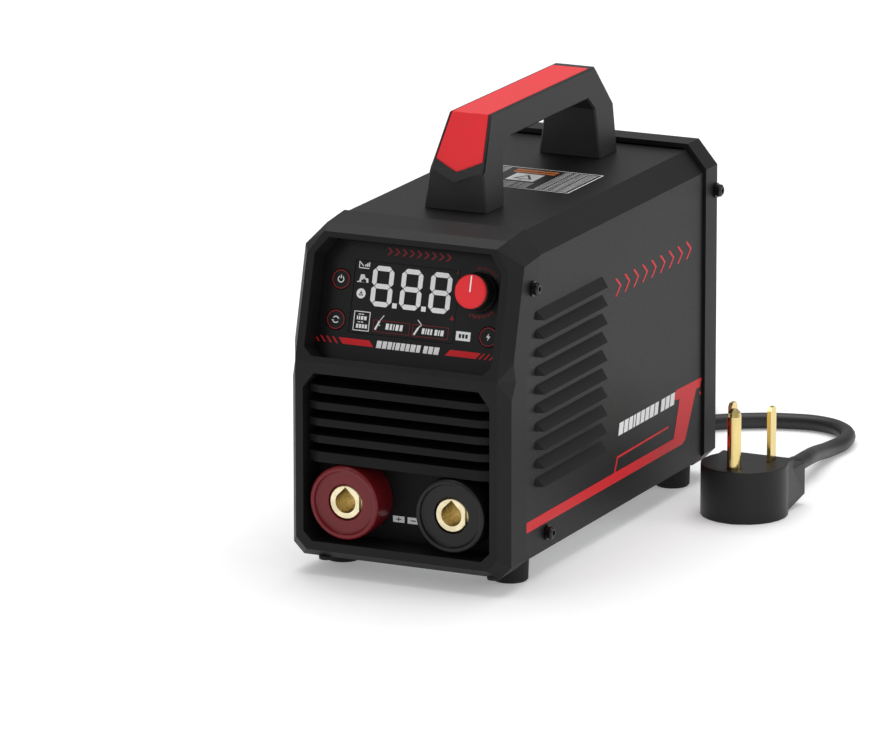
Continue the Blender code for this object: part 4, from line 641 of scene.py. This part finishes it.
def add_coil_tie():
    """Hook-and-loop strap round the four turns."""
    bpy.ops.mesh.primitive_cube_add(size=1, location=(0, 0, 0))
    tie = bpy.context.object
    tie.name = "coil_tie"
    tie.scale = (0.0226, 0.0120, 0.0202)
    bpy.ops.object.transform_apply(scale=True)
    only(tie)
    bpy.ops.object.mode_set(mode="EDIT")
    mesh = bmesh.from_edit_mesh(tie.data)
    for face in mesh.faces:
        face.select = abs(face.normal.y) > 0.9
    bmesh.update_edit_mesh(tie.data)
    bpy.ops.mesh.delete(type="ONLY_FACE")
    bpy.ops.object.mode_set(mode="OBJECT")
    bevel(tie, "corners", 0.0046, 6)
    wall = tie.modifiers.new("wall", "SOLIDIFY")
    wall.thickness = 0.0009
    wall.offset = 1.0
    bevel(tie, "soft", 0.0003, 2)
    for name in ("corners", "wall", "soft"):
        bpy.ops.object.modifier_apply(modifier=name)
    turn = math.radians(250)
    where = COIL_CENTRE + Vector((COIL_MIDDLE * math.cos(turn), COIL_MIDDLE * math.sin(turn),
                                  0.0103))
    tie.matrix_world = Matrix.Translation(where) @ Matrix.Rotation(turn, 4, "Z")
    settle(tie, NYLON)
    for vertex in tie.data.vertices:
        vertex.co.z = max(vertex.co.z, 0.00005)     # flattened where it lies on the floor
    return tie


# ---------------------------------------------------------------- control panel markings

def digit(x, y):
    """A seven-segment figure with every segment lit."""
    gap = 0.28
    half = DIGIT_LINE / 2
    left, right = x + half, x + DIGIT_WIDTH - half
    rows = (y + half, y + DIGIT_HEIGHT / 2, y + DIGIT_HEIGHT - half)
    shapes = []
    for row in rows:
        a, b = left + gap, right - gap
        shapes.append([(a, row), (a + half, row + half), (b - half, row + half), (b, row),
                       (b - half, row - half), (a + half, row - half)])
    for column in (left, right):
        for low, high in zip(rows, rows[1:]):
            a, b = low + gap, high - gap
            shapes.append([(column, a), (column + half, a + half), (column + half, b - half),
                           (column, b), (column - half, b - half), (column - half, a + half)])
    return shapes


def add_digits():
    """Three figures with a point after each of the first two."""
    shapes = []
    for place in range(3):
        shapes += digit(DIGIT_X + DIGIT_PITCH * place, DIGIT_RISE)
    for place in range(2):
        x = DIGIT_X + DIGIT_PITCH * place + 14.4
        shapes.append(bar(x, DIGIT_RISE, x + DIGIT_LINE, DIGIT_RISE + DIGIT_LINE))
    stencil("display_digits", shapes, face_place(0, 0, WINDOW_DEPTH), LIT_WHITE)


def add_display_icons():
    """Three small signs beside the figures."""
    on_window = face_place(0, 0, WINDOW_DEPTH)
    curve_icon = [stroke(-37.4, 57.4, -37.4, 61.3, 0.5), stroke(-37.6, 57.4, -31.0, 57.4, 0.5),
                  stroke(-36.9, 60.6, -34.6, 58.4, 0.5), bar(-33.8, 58.4, -33.0, 59.6),
                  bar(-32.6, 58.4, -31.8, 60.4), bar(-31.4, 58.4, -30.8, 61.0)]
    pulse_icon = [stroke(-37.8, 49.3, -36.4, 49.3, 0.6), stroke(-36.4, 49.1, -35.6, 53.4, 0.6),
                  stroke(-35.7, 53.4, -33.6, 53.4, 0.6), stroke(-33.7, 53.4, -33.0, 51.4, 0.6),
                  stroke(-33.1, 51.4, -31.2, 51.4, 0.6), stroke(-31.2, 51.5, -30.9, 49.2, 0.6),
                  bar(-35.4, 49.2, -32.0, 50.2)]
    dot = [circle(-34.5, 42.6, 2.9), [(-34.5, 44.3), (-35.9, 41.4), (-33.1, 41.4)],
           circle(-34.5, 42.2, 0.45, 12)]
    stencil("display_icons", curve_icon + pulse_icon + dot, on_window, LIT_WHITE)


def add_panel_print():
    """White and red printing on the panel: boxes, rows of blocks, stripes and scale."""
    on_panel = face_place(0, 0, PANEL_DEPTH)
    on_window = face_place(0, 0, WINDOW_DEPTH)
    white = frame_box(-37.4, 21.0, -27.0, 32.4, 0.45)
    stencil("supply_box", white + tick_row(-34.6, 30.4, 0.5, (1.6, 1.4), 0.5)
            + tick_row(-35.4, 27.4, 2.2, (0.7, 0.9, 1.5, 1.6), 0.5)
            + tick_row(-34.6, 25.9, 0.5, (1.6, 1.4), 0.5)
            + tick_row(-35.4, 22.6, 2.3, (1.4, 1.4, 1.4, 1.5), 0.45),
            on_window, WHITE_INK)
    tag = [bar(28.6, 21.9, 37.8, 27.2), *tick_row(30.4, 23.4, 2.3, (1.5, 1.5, 1.5), 0.6)]
    stencil("guard_tag", tag, on_panel, WHITE_INK)
    holder = [stroke(-23.2, 22.6, -20.6, 28.2, 1.1), stroke(-20.9, 27.6, -18.2, 31.4, 0.45),
              stroke(-22.2, 26.2, -20.2, 25.2, 0.5)]
    holder += tick_row(-16.6, 23.4, 3.5, (1.9, 1.3, 0.7, 1.9, 1.8), 0.8, 0.3)
    stencil("stick_mode", holder, on_window, WHITE_INK)
    torch = [stroke(1.8, 22.2, 4.2, 26.4, 1.1), stroke(4.0, 26.2, 6.2, 28.4, 0.6),
             stroke(6.2, 28.3, 3.4, 31.0, 0.45)]
    torch += tick_row(6.6, 23.2, 3.3, (1.6, 0.7, 1.2, 1.2, -0.3, 1.7, 0.8, 2.0), 0.62, 0.3)
    stencil("torch_mode", torch, on_window, WHITE_INK)
    boxes = frame_box(-24.6, 21.4, -1.2, 28.4, 0.32) + frame_box(0.6, 21.4, 23.6, 28.4, 0.32)
    stencil("mode_boxes", boxes, on_window, DIM_RED)
    widths = (3.1, 2.7, 2.6, 1.2, 2.6, 2.6, 2.4, 3.1, 2.5, -0.7, 2.6, 2.8, 3.2)
    type_row = tick_row(-21.2, 12.2, 4.3, widths, 0.65, 0.6)
    stencil("type_row", type_row, on_panel, WHITE_INK)
    stripes = [bar(-42.6, 12.4, -22.8, 16.0, -3.0), bar(23.0, 12.4, 42.6, 16.0, 3.0)]
    for step in range(4):
        x = -45.6 - 3.9 * step
        stripes.append(bar(x - 1.1, 12.4, x, 16.0, -3.0))
    for step in range(3):
        x = 44.4 + 3.2 * step
        stripes.append(bar(x, 12.4, x + 1.0, 16.0, 3.0))
    stencil("panel_stripes", stripes, on_panel, RED_INK)
    header = [chevron(-20.6 + 4.7 * k, 66.4, 3.6, 4.4, 1.3) for k in range(9)]
    stencil("header_row", header, on_panel, DIM_RED)
    warm = [stroke(25.4, 59.6, 25.4, 64.0, 0.55), circle(25.4, 59.2, 0.9, 20)]
    triangle = [[(23.2, 33.0), (26.4, 33.0), (24.8, 35.9)]]
    ticks = []
    for angle in [*range(-12, 46, 6), *range(138, 200, 6)]:
        run, rise = math.cos(math.radians(90 - angle)), math.sin(math.radians(90 - angle))
        near, far = 13.2, 15.2 if angle % 12 else 14.7
        ticks.append(stroke(DIAL_X + near * run, DIAL_RISE + near * rise,
                            DIAL_X + far * run, DIAL_RISE + far * rise, 0.6))
    stencil("dial_scale", ticks, on_panel, DIM_RED)
    stencil("heat_marks", warm + triangle, on_window, DIM_RED)


def add_key_marks():
    """Ring and sign on the face of each key, moving with it."""
    centres = {"power_key": (-48.0, 49.6), "mode_key": (-48.5, 26.0), "vrd_key": (49.2, 25.7)}
    signs = {
        "power_key": [arc_band(0, 0, 1.5, 2.1, 120, 300), stroke(0, 0.5, 0, 2.6, 0.6)],
        "mode_key": [arc_band(0, 0, 1.5, 2.1, 20, 130), arc_band(0, 0, 1.5, 2.1, 200, 130),
                     [(1.0, 0.2), (2.7, 0.2), (1.85, 1.3)],
                     [(-1.0, -0.2), (-2.7, -0.2), (-1.85, -1.3)]],
        "vrd_key": [[(0.4, 2.4), (-1.3, -0.3), (-0.1, -0.3), (-0.5, -2.4), (1.3, 0.5),
                     (0.1, 0.5)]],
    }
    for body, (x, rise) in centres.items():
        spot = face_place(x * MM, rise * MM, KEY_DEPTH)
        stencil(f"{body}_ring", ring(0, 0, 5.10, 5.55), spot, KEY_RED, body)
        stencil(f"{body}_sign", signs[body], spot, WHITE_INK, body)


def add_pointer():
    """White line inlaid in the dial's cap."""
    spot = face_place(DIAL_X * MM, DIAL_RISE * MM, DIAL_CAP_DEPTH)
    line = [bar(-0.42, -0.3, 0.42, 9.2)]
    stencil("dial_pointer", line, spot, WHITE_INK, "dial")


# ---------------------------------------------------------------- case markings

def mirrored(shapes, side):
    """Shapes drawn for the right side, turned over for the left."""
    return [[(side * u, v) for u, v in shape] for shape in shapes]


def add_side_graphics():
    """Red stripe with its hook, row of arrowheads and row of white blocks on both sides."""
    stripe = [(-125.7, 31.2), (101.0, 31.2), (105.4, 33.0), (121.6, 60.8), (127.2, 60.8),
              (129.8, 66.2), (91.2, 67.0), (88.8, 61.2), (96.8, 60.4), (88.2, 37.5),
              (-125.7, 37.5)]
    hairline = [(0.4, 37.5), (4.8, 46.6), (80.6, 47.4), (80.0, 46.2), (6.2, 45.3), (2.6, 37.5)]
    dot = circle(127.6, 56.8, 1.1, 16)
    widths = (6.4, 5.6, 5.4, 2.6, 5.2, 5.4, 5.2, 5.8, 5.0, -1.6, 5.4, 5.6, 6.0)
    row = tick_row(6.7, 58.8, 7.4, widths, 1.35, 1.8)
    emblem = [chevron(1.4 + 12.9 * k, 144.8, 8.6, 10.8, 2.3) for k in range(9)]
    for side, word in ((1, "right"), (-1, "left")):
        spot = side_place(side)
        stencil(f"side_stripe_{word}", mirrored([stripe, hairline, dot], side), spot, RED_INK)
        stencil(f"side_emblem_{word}", mirrored(emblem, side), spot, RED_INK)
        stencil(f"side_row_{word}", mirrored(row, side), spot, WHITE_INK)


def add_louvre_shade_sheets():
    """Black sheets inside the cover, behind the louvres: painted shade that stops the white
    surroundings showing through the louvres' gaps.
    """
    inside, thickness = 0.0018, 0.0004
    for side, word in ((-1, "left"), (1, "right")):
        spot = side_place(side) @ Matrix.Translation((0, 0, -inside))
        # a dark sheet standing in for the shade inside the case
        sheet = mirrored([bar(-113, 50, -10, 166)], side)
        stencil(f"louvre_shade_sheet_{word}", sheet, spot, NYLON, thickness=thickness)


def add_data_plate():
    """Label under the handle with a ruled border and lines of small print."""
    upper = top_place(INK)
    base = [bar(-41.0, -6.4, 41.4, 46.0)]
    stencil("data_plate", base, top_place(), BLACK_INK)
    lines = frame_box(-40.4, -5.8, 40.8, 45.4, 0.7)
    for k in range(17):
        y = -2.6 + 2.75 * k
        lines += tick_row(17.0, y, 0.7, (5.2, 3.4, 4.6, 5.8), 0.8)
        lines += tick_row(-37.0, y, 0.7, (4.2, 5.4, 3.0, 4.4), 0.8)
    for k in range(5):
        lines += tick_row(-16.0, -2.6 + 2.75 * k, 0.7, (5.0, 4.2, 6.4, 3.6, 5.2), 0.8)
    picture = [bar(-9.0, 13.0, 9.0, 31.0), [(0.0, 28.6), (-6.4, 17.4), (6.4, 17.4)],
               [(0.0, 25.6), (-3.9, 18.8), (3.9, 18.8)], circle(0, 15.2, 0.9, 16)]
    stencil("data_plate_print", lines + picture, upper, WHITE_INK)
    head = [bar(-13.0, 38.0, 14.0, 41.0), bar(-13.0, 33.4, 14.0, 36.0)]
    stencil("data_plate_head", head, upper, ORANGE_INK)


def add_polarity_marks():
    """Plus and minus in small boxes between the output sockets."""
    spot = placed((1, 0, 0), (0, 0, 1), (0, -1, 0), (0, PLATE_Y, 0))
    plus = [bar(-12.2, 31.8, -4.8, 35.6), bar(-10.2, 33.4, -6.8, 34.0),
            bar(-8.8, 34.0, -8.2, 35.0), bar(-8.8, 32.4, -8.2, 33.4)]
    minus = [bar(-2.8, 31.8, 4.6, 35.6), bar(-0.8, 33.4, 2.6, 34.0)]
    stencil("polarity_marks", plus + minus, spot, WHITE_INK)


def add_stop_pads():
    """Small rubber stops under the front edge of the bezel."""
    for word, x, y in (("left", -0.0500, -0.1455), ("right", 0.0575, -0.1440)):
        bpy.ops.object.select_all(action="DESELECT")
        bpy.ops.mesh.primitive_cylinder_add(vertices=32, radius=0.0042, depth=0.0026,
                                            location=(x, y, 0.0092))
        pad = bpy.context.object
        pad.name = f"stop_pad_{word}"
        edge = bevel(pad, "edge", 0.0007, 3)
        bpy.ops.object.modifier_apply(modifier=edge.name)
        settle(pad, RUBBER)


# ---------------------------------------------------------------- rear fittings

def add_fan_screws():
    """Button heads with hexagon sockets holding the fan to the rear panel."""
    for k, (side, lift) in enumerate(((-1, -1), (1, -1), (-1, 1), (1, 1)), 1):
        bpy.ops.object.select_all(action="DESELECT")
        bpy.ops.mesh.primitive_cylinder_add(vertices=32, radius=0.0036, depth=0.0020,
                                            location=(0, 0, 0.0010))
        screw = bpy.context.object
        screw.name = f"fan_screw_{k}"
        bpy.ops.object.mode_set(mode="EDIT")
        mesh = bmesh.from_edit_mesh(screw.data)
        for face in mesh.faces:
            face.select = face.normal.z > 0.9
        bmesh.update_edit_mesh(screw.data)
        bpy.ops.mesh.inset(thickness=0.0010)
        bpy.ops.transform.translate(value=(0, 0, 0.0007))
        bpy.ops.mesh.inset(thickness=0.0010)
        bpy.ops.mesh.extrude_region_move(TRANSFORM_OT_translate={"value": (0, 0, -0.0012)})
        bpy.ops.object.mode_set(mode="OBJECT")
        edge = bevel(screw, "edge", 0.0002, 2)
        bpy.ops.object.modifier_apply(modifier=edge.name)
        screw.matrix_world = rear_place(side * FAN_SCREW_REACH, FAN_HEIGHT + lift * FAN_SCREW_REACH)
        settle(screw, OXIDE)


def add_rear_plate():
    """Silver rating plate with a ruled border and lines of small print."""
    x, height = 0.0420, 0.0600
    plate = [bar(-15, -14, 15, 14)]
    stencil("rating_plate", plate, rear_place(x, height), SILVER_FILM)
    upper = rear_place(x, height, INK)
    lines = frame_box(-14.4, -13.4, 14.4, 13.4, 0.4)
    for k in range(6):
        lines += tick_row(-12.6, 8.4 - 3.8 * k, 1.2, (3.6, 2.6, 4.8), 0.8)
        lines += tick_row(3.0, 8.4 - 3.8 * k, 1.2, (2.8, 5.0), 0.8)
    stencil("rating_print", lines, upper, BLACK_INK)


# ---------------------------------------------------------------- assembly

add_camera()
cord = add_cord()
tie = add_coil_tie()
plug = rounded("plug_body", 0.0003, PLUG_PVC, sharp=35)
add_studio()
paint_nodes()
rounded("front_bezel", 0.0006, BLACK_ABS)
rounded("rear_frame", 0.0006, BLACK_ABS)
rounded("front_grille", 0.0004, GRILLE_ABS)
rounded("handle_body", 0.0005, HANDLE_ABS)
rounded("top_cover", 0.0004, STEEL_COAT)
rounded("handle_inlay", 0.0005, RED_SKIN)
rounded("socket_collar_positive", 0.0004, RED_COLLAR, sharp=35)
rounded("socket_collar_negative", 0.0004, BLACK_COLLAR, sharp=35)
add_digits()
add_display_icons()
add_panel_print()
add_key_marks()
add_pointer()
add_side_graphics()
add_louvre_shade_sheets()
add_data_plate()
add_polarity_marks()
add_stop_pads()
add_fan_screws()
add_rear_plate()
